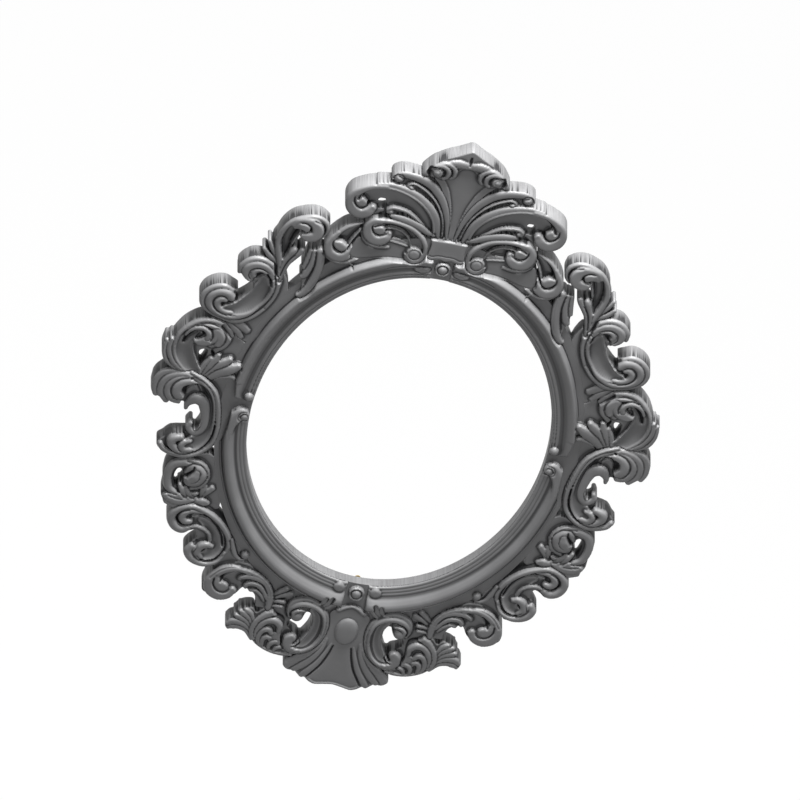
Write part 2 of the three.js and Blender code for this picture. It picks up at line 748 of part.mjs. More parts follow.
const endLow = ringThickness + gap;
const endTop = mouldingEndHeight * thicker;
const endBoss = [[0, endLow], [1, endLow], [1, endTop - 5], [0.65, endTop - 1.5], [0, endTop]];
const endClearance = [[0, cutterFoot], [1, cutterFoot], [1, cutterTop], [0, cutterTop]];
const [upperStart] = upperMouldingSpan;
const [, lowerEnd] = lowerMouldingSpan;
const upperMoulding = mouldingArc(upperMouldingSection, upperMouldingSpan)
  .add(mouldingEnd(upperStart, mouldingEndRadius, endBoss));
const lowerMoulding = mouldingArc(lowerMouldingSection, lowerMouldingSpan)
  .add(mouldingEnd(lowerEnd, mouldingEndRadius, endBoss))
  .subtract(mouldingEnd(upperStart, mouldingEndRadius + gap, endClearance));

// The arcs stop against the rosettes and pass under the carvings' edges.
for (const [name, whole] of [["moulding_upper", upperMoulding], ["moulding_lower", lowerMoulding]]) {
  const cut = cutters.reduce((rest, cutter) => (boxesMeet(rest, cutter) ? rest.subtract(cutter) : rest), whole);
  addPair(name, mainBody(cut));
}

// Back hardware

function backPlate(outline, hole, low, high) {
  const shape = new THREE.Shape(outline);
  if (hole) {
    const path = new THREE.Path();
    path.absarc(hole.x, hole.y, hole.radius, 0, Math.PI * 2, true);
    shape.holes.push(path);
  }
  const depth = high - low;
  const geometry = new THREE.ExtrudeGeometry(shape, { depth, bevelEnabled: false, curveSegments: 4 });
  geometry.rotateX(Math.PI / 2);
  geometry.translate(0, high, 0);
  return solidOf(geometry);
}

function roundEnded(length, width, pivot) {
  const outline = [];
  const radius = width / 2;
  const ends = [length - pivot - radius, -pivot + radius];
  ends.forEach((middle, end) => {
    for (let i = 0; i <= 4; i += 1) {
      const angle = -Math.PI / 2 + (Math.PI * i) / 4 + end * Math.PI;
      outline.push(new THREE.Vector2(middle + radius * Math.cos(angle), radius * Math.sin(angle)));
    }
  });
  return outline;
}

// A pan-head wood screw that points into the ring, its head's underside at the given level.
function screwGeometry(headUnderside) {
  const points = [
    [0, -screwDepth], [screwShankRadius, -screwDepth + screwPointLength],
    [screwShankRadius, headUnderside], [screwHeadRadius, headUnderside],
    [screwHeadRadius * 0.9, headUnderside + screwHeadHeight * 0.7], [0, headUnderside + screwHeadHeight],
  ].map(([radius, level]) => new THREE.Vector2(radius, level));
  return geometryOf(solidOf(new THREE.LatheGeometry(points, 8)));
}

const screwHoles = [];

function screwHole(x, z) {
  const points = [
    [0, -screwDepth - 0.5], [screwShankRadius + gap, -screwDepth - 0.5], [screwShankRadius + gap, 1], [0, 1],
  ].map(([radius, level]) => new THREE.Vector2(radius, level));
  const geometry = new THREE.LatheGeometry(points, 8);
  geometry.rotateY(Math.PI / 8);
  geometry.translate(x, 0, z);
  screwHoles.push({ x, z, solid: solidOf(geometry) });
}

// Turn buttons at the four quarter points of the rebate, closed over the picture's edge.
const buttonPivot = buttonWidth / 2;
const buttonOverhang = buttonLength - buttonPivot;
const buttonSeats = [90, 0, 270, 180];
buttonSeats.forEach((degrees, i) => {
  const upright = degrees % 180 !== 0;
  const rebateEdge = upright ? rebateOval[1] : rebateOval[0];
  const distance = rebateEdge + buttonOverhang - buttonReach;
  const angle = THREE.MathUtils.degToRad(degrees);
  const seat = new THREE.Group();
  seat.position.set(distance * Math.cos(angle), 0, distance * Math.sin(angle));
  seat.rotation.y = Math.PI - angle;
  frame.add(seat);
  const plate = backPlate(
    roundEnded(buttonLength, buttonWidth, buttonPivot),
    { x: 0, y: 0, radius: buttonHoleRadius + gap / 3 },
    gap,
    gap + buttonThickness,
  );
  addMesh(`turn_button_${i + 1}`, geometryOf(plate), brass, seat);
  addMesh(`turn_button_screw_${i + 1}`, screwGeometry(gap * 2 + buttonThickness), brass, seat);
  screwHole(seat.position.x, seat.position.z);
});

// Strap hangers on the upper sides.
const eyeInner = hangerRodRadius + eyeClearance;
const eyeOuter = eyeInner + eyeWall;
const eyeLevel = gap + eyeOuter;

function hangerStrap() {
  const bottom = -strapLength;
  const half = strapWidth / 2;
  const outline = [
    new THREE.Vector2(-half, bottom + strapCorner), new THREE.Vector2(-half + strapCorner, bottom),
    new THREE.Vector2(half - strapCorner, bottom), new THREE.Vector2(half, bottom + strapCorner),
    new THREE.Vector2(half, -eyeInner), new THREE.Vector2(-half, -eyeInner),
  ];
  const hole = { x: 0, y: -hangerScrewDrop, radius: screwShankRadius + gap };
  const plate = backPlate(outline, hole, gap, gap + strapThickness);
  const ringPoints = [
    [eyeInner, -half], [eyeOuter, -half], [eyeOuter, half], [eyeInner, half], [eyeInner, -half],
  ].map(([radius, level]) => new THREE.Vector2(radius, level));
  const eye = new THREE.LatheGeometry(ringPoints, 12);
  eye.rotateZ(Math.PI / 2);
  eye.translate(0, eyeLevel, 0);
  return plate.add(solidOf(eye));
}

function rodLoop() {
  const half = hangerRingWidth / 2;
  const corner = 4;
  const points = [];
  const middle = new THREE.Vector2(0, -hangerRingLength + half);
  points.push(new THREE.Vector2(-half + corner, 0), new THREE.Vector2(half - corner, 0));
  points.push(new THREE.Vector2(half - 1, -1.2), new THREE.Vector2(half, -4));
  for (let i = 1; i <= 5; i += 1) {
    const angle = -(Math.PI * i) / 6;
    points.push(new THREE.Vector2(half * Math.cos(angle), middle.y + half * Math.sin(angle)));
  }
  points.push(new THREE.Vector2(-half, -4), new THREE.Vector2(-half + 1, -1.2));
  return points;
}

function hangerRing() {
  const points = rodLoop();
  const sides = 6;
  const count = points.length;
  const positions = [];
  const index = [];
  points.forEach((here, i) => {
    const before = points[(i + count - 1) % count];
    const after = points[(i + 1) % count];
    const along = after.clone().sub(before).normalize();
    for (let j = 0; j < sides; j += 1) {
      const angle = (Math.PI * 2 * (j + 0.5)) / sides;
      const aside = hangerRodRadius * Math.cos(angle);
      positions.push(
        here.x - along.y * aside,
        eyeLevel + hangerRodRadius * Math.sin(angle),
        here.y + along.x * aside,
      );
      const a = i * sides + j;
      const b = i * sides + ((j + 1) % sides);
      const c = ((i + 1) % count) * sides + j;
      const d = ((i + 1) % count) * sides + ((j + 1) % sides);
      index.push(a, b, c, b, d, c);
    }
  });
  const geometry = new THREE.BufferGeometry();
  geometry.setAttribute("position", new THREE.Float32BufferAttribute(positions, 3));
  geometry.setIndex(index);
  return geometryOf(solidOf(geometry));
}

for (const [side, direction] of [["right", 1], ["left", -1]]) {
  const seat = new THREE.Group();
  seat.position.set(direction * hangerX * across, 0, hangerZ * upward);
  frame.add(seat);
  addMesh(`hanger_strap_${side}`, geometryOf(hangerStrap()), steel, seat);
  addMesh(`hanger_ring_${side}`, hangerRing(), steel, seat);
  const screw = addMesh(`hanger_screw_${side}`, screwGeometry(gap * 2 + strapThickness), steel, seat);
  screw.position.z = -hangerScrewDrop;
  screwHole(seat.position.x, seat.position.z - hangerScrewDrop);
}

// Pilot holes for the screws, in whichever ring piece each one enters.
for (const mesh of frame.children.filter(({ name }) => name.startsWith("ring_"))) {
  let solid = solidOf(mesh.geometry);
  for (const hole of screwHoles) {
    if (boxesMeet(solid, hole.solid)) solid = solid.subtract(hole.solid);
  }
  mesh.geometry = geometryOf(solid);
  mesh.geometry.computeVertexNormals();
}

export default frame;
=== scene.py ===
import math

import bmesh
import bpy
import numpy as np
from mathutils import Matrix, Vector
from mathutils.geometry import tessellate_polygon


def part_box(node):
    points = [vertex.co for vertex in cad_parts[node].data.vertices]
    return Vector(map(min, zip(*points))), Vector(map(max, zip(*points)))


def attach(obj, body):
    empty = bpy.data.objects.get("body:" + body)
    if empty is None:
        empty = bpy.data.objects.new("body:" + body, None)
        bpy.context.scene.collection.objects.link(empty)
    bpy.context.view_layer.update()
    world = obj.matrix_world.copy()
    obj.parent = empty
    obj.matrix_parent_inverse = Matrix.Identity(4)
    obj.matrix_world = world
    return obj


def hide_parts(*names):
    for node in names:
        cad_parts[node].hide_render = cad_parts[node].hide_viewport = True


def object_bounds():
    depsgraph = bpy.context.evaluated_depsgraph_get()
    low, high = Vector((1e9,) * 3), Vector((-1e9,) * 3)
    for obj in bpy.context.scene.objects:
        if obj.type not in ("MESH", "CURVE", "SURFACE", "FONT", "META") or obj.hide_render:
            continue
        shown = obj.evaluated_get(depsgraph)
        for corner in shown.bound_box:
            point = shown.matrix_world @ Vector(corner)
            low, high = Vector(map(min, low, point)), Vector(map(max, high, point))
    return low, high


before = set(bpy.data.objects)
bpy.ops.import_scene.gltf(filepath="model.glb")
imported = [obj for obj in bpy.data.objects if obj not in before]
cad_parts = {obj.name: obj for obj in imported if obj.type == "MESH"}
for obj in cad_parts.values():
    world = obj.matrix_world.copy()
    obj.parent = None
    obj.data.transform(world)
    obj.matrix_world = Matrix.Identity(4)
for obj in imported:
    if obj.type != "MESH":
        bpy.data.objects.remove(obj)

bl_info = {
    "name": "Carved Oval Frame",
    "version": (1, 0, 0),
    "blender": (4, 5, 0),
    "location": "View3D > Sidebar > Frame",
    "description": "Builds an oval picture frame with carved scrolls, mouldings and back fittings",
    "category": "Object",
}

cad_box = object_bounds()

# Shapes are drawn in millimetres: x to the right, z up, and height off the wall.
MM = 0.001
RING_FACE = 20.5
REBATE_DEPTH = 5.0
REBATE_LIP = 6.0
LAP_LEVEL = 10.0
LAP_HALF_ANGLE = 6.0
JOINT_ANGLE = 48.0
RING_HALF = (240.0, 314.0)
SIGHT_HALF = (198.5, 250.5)
UPPER_MOULDING_HALF = (234.0, 290.0)
LOWER_MOULDING_HALF = (234.0, 295.0)
CARVING_TOP = 34.0
CABOCHON_FOOT = 25.3
CABOCHON_LEVEL = -326.0
CABOCHON_HALF = (14.6, 20.6)
CABOCHON_RIM_HALF = (15.9, 21.9)
CABOCHON_ROUNDING = 1.0
JOINT_GAP = 0.12

# The carvings' curves, grid, edges and shading
PATH_STEPS = 6
LOOP_STEPS = 4
CIRCLE_STEPS = 24
SLAB_STEPS = 360
MARGIN_CELLS = 3
TINY = 1e-9
LEAST_WIDTH = 0.05
GROOVE_POWER = 0.8
END_LEVEL = 0.7
EDGE_DROP = 0.8
# The hollow depth, on a wide and a fine scale, for the painted shade in the hollows.
WIDE_BLUR, WIDE_DROP = 24, 3.5
FINE_BLUR, FINE_DROP = 5, 0.9
CROSSING_MARGIN = 0.08
SHARP_ANGLE = 50.0
CLEARANCE_BACK = -2.0

# The ring's joints and screw holes
JOINT_RADIUS = 260.0
FRONT_LAPS = {"ring_top": 1, "ring_bottom": 1, "ring_right": -1, "ring_left": -1}
HOLE_RADIUS = 2.1
HOLE_DEPTH = 18.6
HOLE_SIDES = 24


# Outlines and strokes

def spline(rows, steps):
    """Smooth pieces between rows, for all but the first and the last two of them."""
    t = np.linspace(0, 1, steps, endpoint=False)[:, None]
    return [0.5 * (2 * b + (c - a) * t + (2 * a - 5 * b + 4 * c - d) * t ** 2
                   + (3 * b - a - 3 * c + d) * t ** 3)
            for a, b, c, d in zip(rows, rows[1:], rows[2:], rows[3:])]


def curve_through(points):
    """Rows along a smooth curve through given rows of x, z, half width and height."""
    rows = np.array(points, float)
    if len(rows) == 1:
        return rows
    padded = np.vstack([2 * rows[0] - rows[1], rows, 2 * rows[-1] - rows[-2]])
    return np.vstack(spline(padded, PATH_STEPS) + [rows[-1:]])


def loop_through(points):
    rows = np.array(points, float)
    return np.vstack(spline(np.vstack([rows[-1:], rows, rows[:2]]), LOOP_STEPS))


class Board:
    """A square grid over one carving: its height, and how far each point lies inside."""

    def __init__(self, box, cell):
        self.cell = cell
        self.margin = MARGIN_CELLS * cell
        self.first = np.floor(np.array(box[:2]) / cell).astype(int) - MARGIN_CELLS
        last = np.ceil(np.array(box[2:]) / cell).astype(int) + MARGIN_CELLS
        self.x = np.arange(self.first[0], last[0] + 1) * cell
        self.z = np.arange(self.first[1], last[1] + 1) * cell
        self.xs, self.zs = np.meshgrid(self.x, self.z)
        self.height = np.full(self.xs.shape, np.nan)
        self.inside = np.full(self.xs.shape, -self.margin)

    def window(self, low, high):
        """The rows and columns of the grid that cover a box."""
        cols, rows = (slice(max(0, int((a - grid[0]) / self.cell)),
                            max(0, int((b - grid[0]) / self.cell) + 2))
                      for a, b, grid in zip(low, high, (self.x, self.z)))
        return rows, cols

    def lay(self, within, height, inside, over, spread):
        """Lays a shape on the board, over what is there or only where it is higher."""
        blank = np.isnan(self.height) & spread
        kept = np.where(np.isnan(self.height), -np.inf, self.height)
        raised = within & (over | (height > kept))
        self.height = np.where(raised | blank, height, self.height)
        self.inside = np.maximum(self.inside, inside)


def nearest(board, path):
    """For each grid point: its offset across the path as a share, and the width and height there."""
    shape = board.xs.shape
    share = np.full(shape, np.inf)
    signed = np.zeros(shape)
    width = np.ones(shape)
    height = np.zeros(shape)
    ends = zip(path[:-1], path[1:]) if len(path) > 1 else [(path[0], path[0])]
    for a, b in ends:
        margin = max(a[2], b[2]) + board.margin
        rows, cols = board.window(np.minimum(a, b)[:2] - margin, np.maximum(a, b)[:2] + margin)
        xs, zs = board.xs[rows, cols], board.zs[rows, cols]
        if xs.size == 0:
            continue
        dx, dz = b[0] - a[0], b[1] - a[1]
        t = np.clip(((xs - a[0]) * dx + (zs - a[1]) * dz) / max(dx * dx + dz * dz, TINY), 0, 1)
        px, pz = xs - a[0] - t * dx, zs - a[1] - t * dz
        w = np.maximum(a[2] + t * (b[2] - a[2]), LEAST_WIDTH)
        ratio = np.hypot(px, pz) / w
        near = ratio < share[rows, cols]
        share[rows, cols] = np.where(near, ratio, share[rows, cols])
        side = np.where(dx * pz - dz * px >= 0, 1.0, -1.0)
        signed[rows, cols] = np.where(near, ratio * side, signed[rows, cols])
        width[rows, cols] = np.where(near, w, width[rows, cols])
        height[rows, cols] = np.where(near, a[3] + t * (b[3] - a[3]), height[rows, cols])
    return share, signed, width, height


# Cross sections: share of the half width across, and drop as a share of the half width.
def domed(drop):
    return [(u, drop * (1 - math.sqrt(1 - u * u))) for u in np.linspace(-1, 1, 25)]


SECTIONS = {
    "round": domed(0.8),
    "soft": domed(0.45),
    "pillow": [(u, 0.3 * abs(u) ** 4) for u in np.linspace(-1, 1, 25)],
    "hollow": [(u, 0.5 * (1 - u * u) ** 0.8) for u in np.linspace(-1, 1, 17)],
}


def stroke(points, section):
    """A raised band along a path, with the height across it from a section."""
    path = curve_through(points)
    across, drops = zip(*SECTIONS[section])

    def carve(board):
        share, signed, width, height = nearest(board, path)
        level = height - width * np.interp(np.clip(signed, -1, 1), across, drops)
        spread = share < 1 + board.margin / width
        inside = np.where(spread, width * (1 - share), -board.margin)
        board.lay(share <= 1, level, inside, True, spread)

    margin = path[:, 2]
    carve.box = (min(path[:, 0] - margin), min(path[:, 1] - margin),
                 max(path[:, 0] + margin), max(path[:, 1] + margin))
    return carve


def roll(points):
    return stroke(points, "round")


def leaf(points):
    return stroke(points, "soft")


def pad(points):
    return stroke(points, "pillow")


def trough(points):
    return stroke(points, "hollow")


def groove(points, depth=2.0):
    """A V cut along a path of x, z and half width."""
    path = curve_through([(x, z, w, 0) for x, z, w in points])

    def carve(board):
        share = nearest(board, path)[0]
        cut = depth * np.clip(1 - share, 0, 1) ** GROOVE_POWER
        board.height = board.height - cut

    carve.box = (path[0, 0], path[0, 1], path[0, 0], path[0, 1])
    return carve


def signed_outline(xs, zs, loop):
    """Distance to a closed outline, positive inside."""
    distance = np.full(xs.shape, np.inf)
    crossings = np.zeros(xs.shape, bool)
    for (x0, z0), (x1, z1) in zip(loop, np.roll(loop, -1, axis=0)):
        dx, dz = x1 - x0, z1 - z0
        t = np.clip(((xs - x0) * dx + (zs - z0) * dz) / max(dx * dx + dz * dz, TINY), 0, 1)
        distance = np.minimum(distance, np.hypot(xs - x0 - t * dx, zs - z0 - t * dz))
        if dz != 0:
            between = (z0 > zs) != (z1 > zs)
            crossings ^= between & (xs < (zs - z0) / dz * dx + x0)
    return np.where(crossings, distance, -distance)


def field(points, level, over=False):
    """Flat ground inside an outline."""
    loop = loop_through(points)

    def carve(board):
        inside = signed_outline(board.xs, board.zs, loop)
        flat = np.full(board.xs.shape, float(level))
        board.lay(inside >= 0, flat, inside, over, inside > -board.margin)

    carve.box = (*loop.min(axis=0), *loop.max(axis=0))
    return carve


def hole(points):
    """An opening through the carving."""
    loop = loop_through(points)

    def carve(board):
        board.inside = np.minimum(board.inside, -signed_outline(board.xs, board.zs, loop))

    carve.box = (*loop.mean(axis=0), *loop.mean(axis=0))
    return carve


def oval_distance(xs, zs, half):
    """Distance outwards from an oval, true close to it."""
    share = np.maximum(np.hypot(xs / half[0], zs / half[1]), 1e-6)
    slope = np.hypot(xs / half[0] ** 2, zs / half[1] ** 2) / share
    return (share - 1) / np.maximum(slope, 1e-6)


def moulding(span, beads, torus, half_sizes, end_radii):
    """A band round the opening: beads by their distance from its edge, and a torus over the rest."""
    bead_at, bead_height = zip(*beads)
    torus_at, torus_height = zip(*torus)
    corners = [(half[0] * math.cos(math.radians(a)), half[1] * math.sin(math.radians(a)))
               for half in (SIGHT_HALF, half_sizes) for a in (*span, 0.5 * (span[0] + span[1]))]

    def carve(board):
        inner = oval_distance(board.xs, board.zs, SIGHT_HALF)
        outer = -oval_distance(board.xs, board.zs, half_sizes)
        rest = (inner - bead_at[-1]) / np.maximum(inner + outer - bead_at[-1], 1)
        level = np.where(inner < bead_at[-1], np.interp(inner, bead_at, bead_height),
                         np.interp(rest, torus_at, torus_height))
        turn = np.degrees(np.arctan2(board.zs / SIGHT_HALF[1], board.xs / SIGHT_HALF[0]))
        end = np.radians(np.minimum(turn - span[0], span[1] - turn)) * np.hypot(board.xs, board.zs)
        end_radius = np.where(turn - span[0] < span[1] - turn, *end_radii)
        corner = end_radius - np.hypot(np.maximum(end_radius - outer, 0), np.maximum(end_radius - end, 0))
        inside = np.minimum(np.minimum(inner, outer), np.minimum(end, corner))
        ease = np.sqrt(1 - (1 - np.clip(corner / end_radius, 0, 1)) ** 2)
        ease = np.where(end < end_radius, ease, 1)
        level = RING_FACE + (level - RING_FACE) * (END_LEVEL + (1 - END_LEVEL) * ease)
        board.lay(inside >= 0, level, inside, True, inside > -board.margin)

    xs, zs = zip(*corners)
    carve.box = (min(xs), min(zs), max(xs), max(zs))
    return carve


def circle(x, z, radius, width, top):
    turns = np.linspace(0, 2 * math.pi, CIRCLE_STEPS + 1)
    return roll([(x + radius * math.cos(a), z + radius * math.sin(a), width, top) for a in turns])


def oval_dome(x, z, half, low, high):
    """A domed oval."""

    def carve(board):
        share = np.hypot((board.xs - x) / half[0], (board.zs - z) / half[1])
        level = low + (high - low) * np.sqrt(np.clip(1 - share ** 2, 0, 1))
        inside = (1 - share) * min(half)
        board.lay(share <= 1, level, inside, True, inside > -board.margin)

    carve.box = (x - half[0], z - half[1], x + half[0], z + half[1])
    return carve


def ball(x, z, radius, top):
    return roll([(x, z, radius, top)])


# From a board to a closed mesh

def blurred(grid, times):
    for _ in range(times):
        padded = np.pad(grid, 1, mode="edge")
        grid = (padded[:-2, 1:-1] + padded[2:, 1:-1] + 2 * grid) / 4
        padded = np.pad(grid, 1, mode="edge")
        grid = (padded[1:-1, :-2] + padded[1:-1, 2:] + 2 * grid) / 4
    return grid


def carve_board(elements, cell, whole):
    boxes = np.array([element.box for element in elements])
    low, high = boxes[:, :2].min(axis=0), boxes[:, 2:].max(axis=0)
    if whole:
        low[0] = MARGIN_CELLS * cell
    board = Board((*low, *high), cell)
    for element in elements:
        element(board)
    (_, _, bottom), (side, _, top) = cad_box
    for clear in (board.zs - bottom / MM, top / MM - board.zs, side / MM - np.abs(board.xs)):
        board.inside = np.minimum(board.inside, clear)
    if not whole:
        board.inside = np.minimum(board.inside, board.xs - 0.5 * JOINT_GAP)
    return board


def unfolded(board):
    """The right half of a whole piece, with its mirror image."""
    keep = board.x > -0.5 * board.cell
    board.height, board.inside = board.height[:, keep], board.inside[:, keep]
    board.x = board.x[keep]
    board.height = np.hstack([board.height[:, :0:-1], board.height])
    board.inside = np.hstack([board.inside[:, :0:-1], board.inside])
    board.x = np.concatenate([-board.x[:0:-1], board.x])
    board.xs, board.zs = np.meshgrid(board.x, board.z)
    board.first = np.array([round(board.x[0] / board.cell), board.first[1]])


def cut_clear(board, others):
    """Keeps the joint gap to the carvings laid before this one."""
    for other in others:
        shift = other.first - board.first
        rows = slice(max(0, shift[1]), min(board.inside.shape[0], shift[1] + other.inside.shape[0]))
        cols = slice(max(0, shift[0]), min(board.inside.shape[1], shift[0] + other.inside.shape[1]))
        if rows.start >= rows.stop or cols.start >= cols.stop:
            continue
        part = other.inside[rows.start - shift[1]:rows.stop - shift[1],
                            cols.start - shift[0]:cols.stop - shift[0]]
        board.inside[rows, cols] = np.minimum(board.inside[rows, cols], -part - JOINT_GAP)


def finish_board(board, softness, edge):
    height = np.where(np.isnan(board.height), RING_FACE, board.height)
    height = blurred(height, softness)
    lip = 1 - np.clip(board.inside / edge, 0, 1)
    height = height - edge * EDGE_DROP * (1 - np.sqrt(1 - lip ** 2))
    board.height = np.minimum(height, CARVING_TOP)
    # How far each point lies below its surroundings: the paint darkens the hollows by it, as painted shade.
    wide = blurred(board.height, WIDE_BLUR) - board.height
    fine = blurred(board.height, FINE_BLUR) - board.height
    board.hollow = np.clip(wide / WIDE_DROP + fine / FINE_DROP, -1, 1)


CORNERS = ((0, 0), (0, 1), (1, 1), (1, 0))


def relief_mesh(name, board, foot=0.0):
    """A closed body: the relief, straight walls, and a flat back at the foot's level."""
    inside = board.inside
    rows, cols = inside.shape
    solid = inside > 0
    number = np.full(inside.shape, -1)
    number[solid] = np.arange(solid.sum())
    points = [np.stack([board.xs[solid], board.zs[solid], board.height[solid], board.hollow[solid]], 1)]
    count = int(solid.sum())

    def crossings(first, second):
        nonlocal count
        cross = solid[first] != solid[second]
        ids = np.full(cross.shape, -1)
        ids[cross] = count + np.arange(cross.sum())
        count += int(cross.sum())
        f0, f1 = inside[first][cross], inside[second][cross]
        t = np.clip(f0 / (f0 - f1), CROSSING_MARGIN, 1 - CROSSING_MARGIN)
        mix = [grid[first][cross] * (1 - t) + grid[second][cross] * t
               for grid in (board.xs, board.zs, board.height, board.hollow)]
        points.append(np.stack(mix, 1))
        return ids

    left, right = (slice(None), slice(0, cols - 1)), (slice(None), slice(1, cols))
    low, high = (slice(0, rows - 1), slice(None)), (slice(1, rows), slice(None))
    across = crossings(left, right)
    upward = crossings(low, high)
    corner = [number[a:rows - 1 + a, b:cols - 1 + b] for a, b in CORNERS]
    side = [across[:-1, :], upward[:, 1:], across[1:, :], upward[:, :-1]]
    code = sum((corner[k] >= 0).astype(int) << k for k in range(4))
    starts, totals, indices = [], [], []
    used = 0
    for case in range(1, 16):
        cells = code == case
        amount = int(cells.sum())
        if not amount:
            continue
        slots = []
        for k in range(4):
            here, after = case >> k & 1, case >> (k + 1) % 4 & 1
            if here:
                slots.append(corner[k][cells])
            if here != after:
                slots.append(side[k][cells])
        faces = np.stack(slots, 1)
        starts.append(used + np.arange(amount) * len(slots))
        totals.append(np.full(amount, len(slots)))
        indices.append(faces.ravel())
        used += faces.size
    starts, totals, indices = map(np.concatenate, (starts, totals, indices))
    points = np.vstack(points)

    following = np.arange(len(indices)) + 1
    following[starts + totals - 1] = starts
    tail, head = indices, indices[following]
    open_edge = ~np.isin(tail * count + head, head * count + tail)
    tail, head = tail[open_edge], head[open_edge]
    follow = dict(zip(tail.tolist(), head.tolist()))
    loops = []
    while follow:
        start, point = follow.popitem()
        loop = [start]
        while point != start:
            loop.append(point)
            point = follow.pop(point)
        loops.append(loop)
    rim = [point for loop in loops for point in loop]
    foot_of = dict(zip(rim, range(count, count + len(rim))))
    flat = [[Vector((points[p, 0], points[p, 1], 0)) for p in loop] for loop in loops]
    back = []
    for a, b, c in tessellate_polygon(flat):
        pa, pb, pc = (points[rim[k]] for k in (a, b, c))
        area = (pb[0] - pa[0]) * (pc[1] - pa[1]) - (pb[1] - pa[1]) * (pc[0] - pa[0])
        back.append((count + a, count + c, count + b) if area > 0 else (count + a, count + b, count + c))
    walls = [(h, t, foot_of[t], foot_of[h]) for t, h in zip(tail.tolist(), head.tolist())]
    bottom = points[rim].copy()
    bottom[:, 2] = foot
    bottom[:, 3] = 0
    points = np.vstack([points, bottom])
    for faces in (walls, back):
        faces = np.array(faces)
        starts = np.concatenate([starts, used + np.arange(len(faces)) * faces.shape[1]])
        totals = np.concatenate([totals, np.full(len(faces), faces.shape[1])])
        indices = np.concatenate([indices, faces.ravel()])
        used += faces.size

    mesh = bpy.data.meshes.new(name)
    mesh.vertices.add(len(points))
    place = np.stack([points[:, 0], -points[:, 2], points[:, 1]], 1) * MM
    mesh.vertices.foreach_set("co", place.ravel())
    mesh.loops.add(len(indices))
    mesh.loops.foreach_set("vertex_index", indices.astype(np.int32))
    mesh.polygons.add(len(starts))
    mesh.polygons.foreach_set("loop_start", starts.astype(np.int32))
    mesh.polygons.foreach_set("loop_total", totals.astype(np.int32))
    mesh.update(calc_edges=True)
    # The hollow depth goes with the mesh, for the paint's painted shade.
    hollow = mesh.attributes.new("hollow", "FLOAT", "POINT")
    hollow.data.foreach_set("value", points[:, 3].astype(np.float32))
    shape = bmesh.new()
    shape.from_mesh(mesh)
    bmesh.ops.recalc_face_normals(shape, faces=shape.faces[:])
    shape.to_mesh(mesh)
    shape.free()
    return mesh


def mirrored_mesh(mesh, name):
    copy = mesh.copy()
    copy.name = name
    copy.transform(Matrix.Scale(-1, 4, (1, 0, 0)))
    copy.flip_normals()
    return copy


def shaded(mesh):
    mesh.polygons.foreach_set("use_smooth", np.ones(len(mesh.polygons), bool))
    mesh.set_sharp_from_angle(angle=math.radians(SHARP_ANGLE))


def add_piece(name, mesh, material, body, nodes):
    mesh.materials.clear()
    mesh.materials.append(material)
    piece = bpy.data.objects.new(name, mesh)
    bpy.context.scene.collection.objects.link(piece)
    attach(piece, body)
    if nodes:
        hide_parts(*nodes)
    return piece


def oval_slab(half, low, high, steps=SLAB_STEPS):
    """A closed oval plate, as the tool that clears the carvings off the ring."""
    turn = np.linspace(0, 2 * math.pi, steps, endpoint=False)
    rim = [(half[0] * math.cos(a) * MM, half[1] * math.sin(a) * MM) for a in turn]
    points = [(x, -n * MM, z) for n in (low, high) for x, z in rim]
    faces = [tuple(range(steps - 1, -1, -1)), tuple(range(steps, 2 * steps))]
    faces += [(k, (k + 1) % steps, steps + (k + 1) % steps, steps + k) for k in range(steps)]
    mesh = bpy.data.meshes.new("ring_clearance")
    mesh.from_pydata(points, [], faces)
    mesh.update()
    return mesh


def cut_mesh(mesh, cutter):
    """One mesh minus another, both closed."""
    tool = bpy.data.objects.new("tool", cutter)
    work = bpy.data.objects.new("work", mesh)
    for item in (tool, work):
        bpy.context.scene.collection.objects.link(item)
    cut = work.modifiers.new("cut", "BOOLEAN")
    cut.object = tool
    cut.solver = "MANIFOLD"
    graph = bpy.context.evaluated_depsgraph_get()
    result = bpy.data.meshes.new_from_object(work.evaluated_get(graph))
    result.name = mesh.name
    for item in (tool, work):
        bpy.data.objects.remove(item)
    if not result.polygons:
        raise RuntimeError(mesh.name + " came out empty")
    return result


# The carvings, drawn for the right-hand side. Each one keeps clear of those laid before it.

def rosette(z, radius):
    return [
        oval_dome(0, z, (radius, radius), 24, 25),
        circle(0, z, radius - 1.5, 1.5, 27.4),
        ball(0, z, radius - 3.5, 29.6),
    ]


# These cross the middle. The others have a mirrored twin on the left.
WHOLE = ("rosette_top", "rosette_bottom", "crest_band", "crest_plaque", "shell")

CARVINGS = {}
CARVINGS["rosette_top"] = rosette(269.5, 10.6)
CARVINGS["rosette_bottom"] = rosette(-264.5, 10.8)

CARVINGS["crest_band"] = [
    field([(-24, 312), (20, 314), (24, 312), (23, 305), (23.5, 296), (24.5, 286), (21, 282.5), (14, 283),
           (8, 285), (0, 283), (-8, 285), (-24, 288)], 25.6),
    groove([(-8, 290, 0.8), (0, 290.6, 0.8), (7, 291, 0.8), (13, 290, 0.8), (18, 288, 0.8),
            (23, 288.6, 0.8)], 1.6),
]

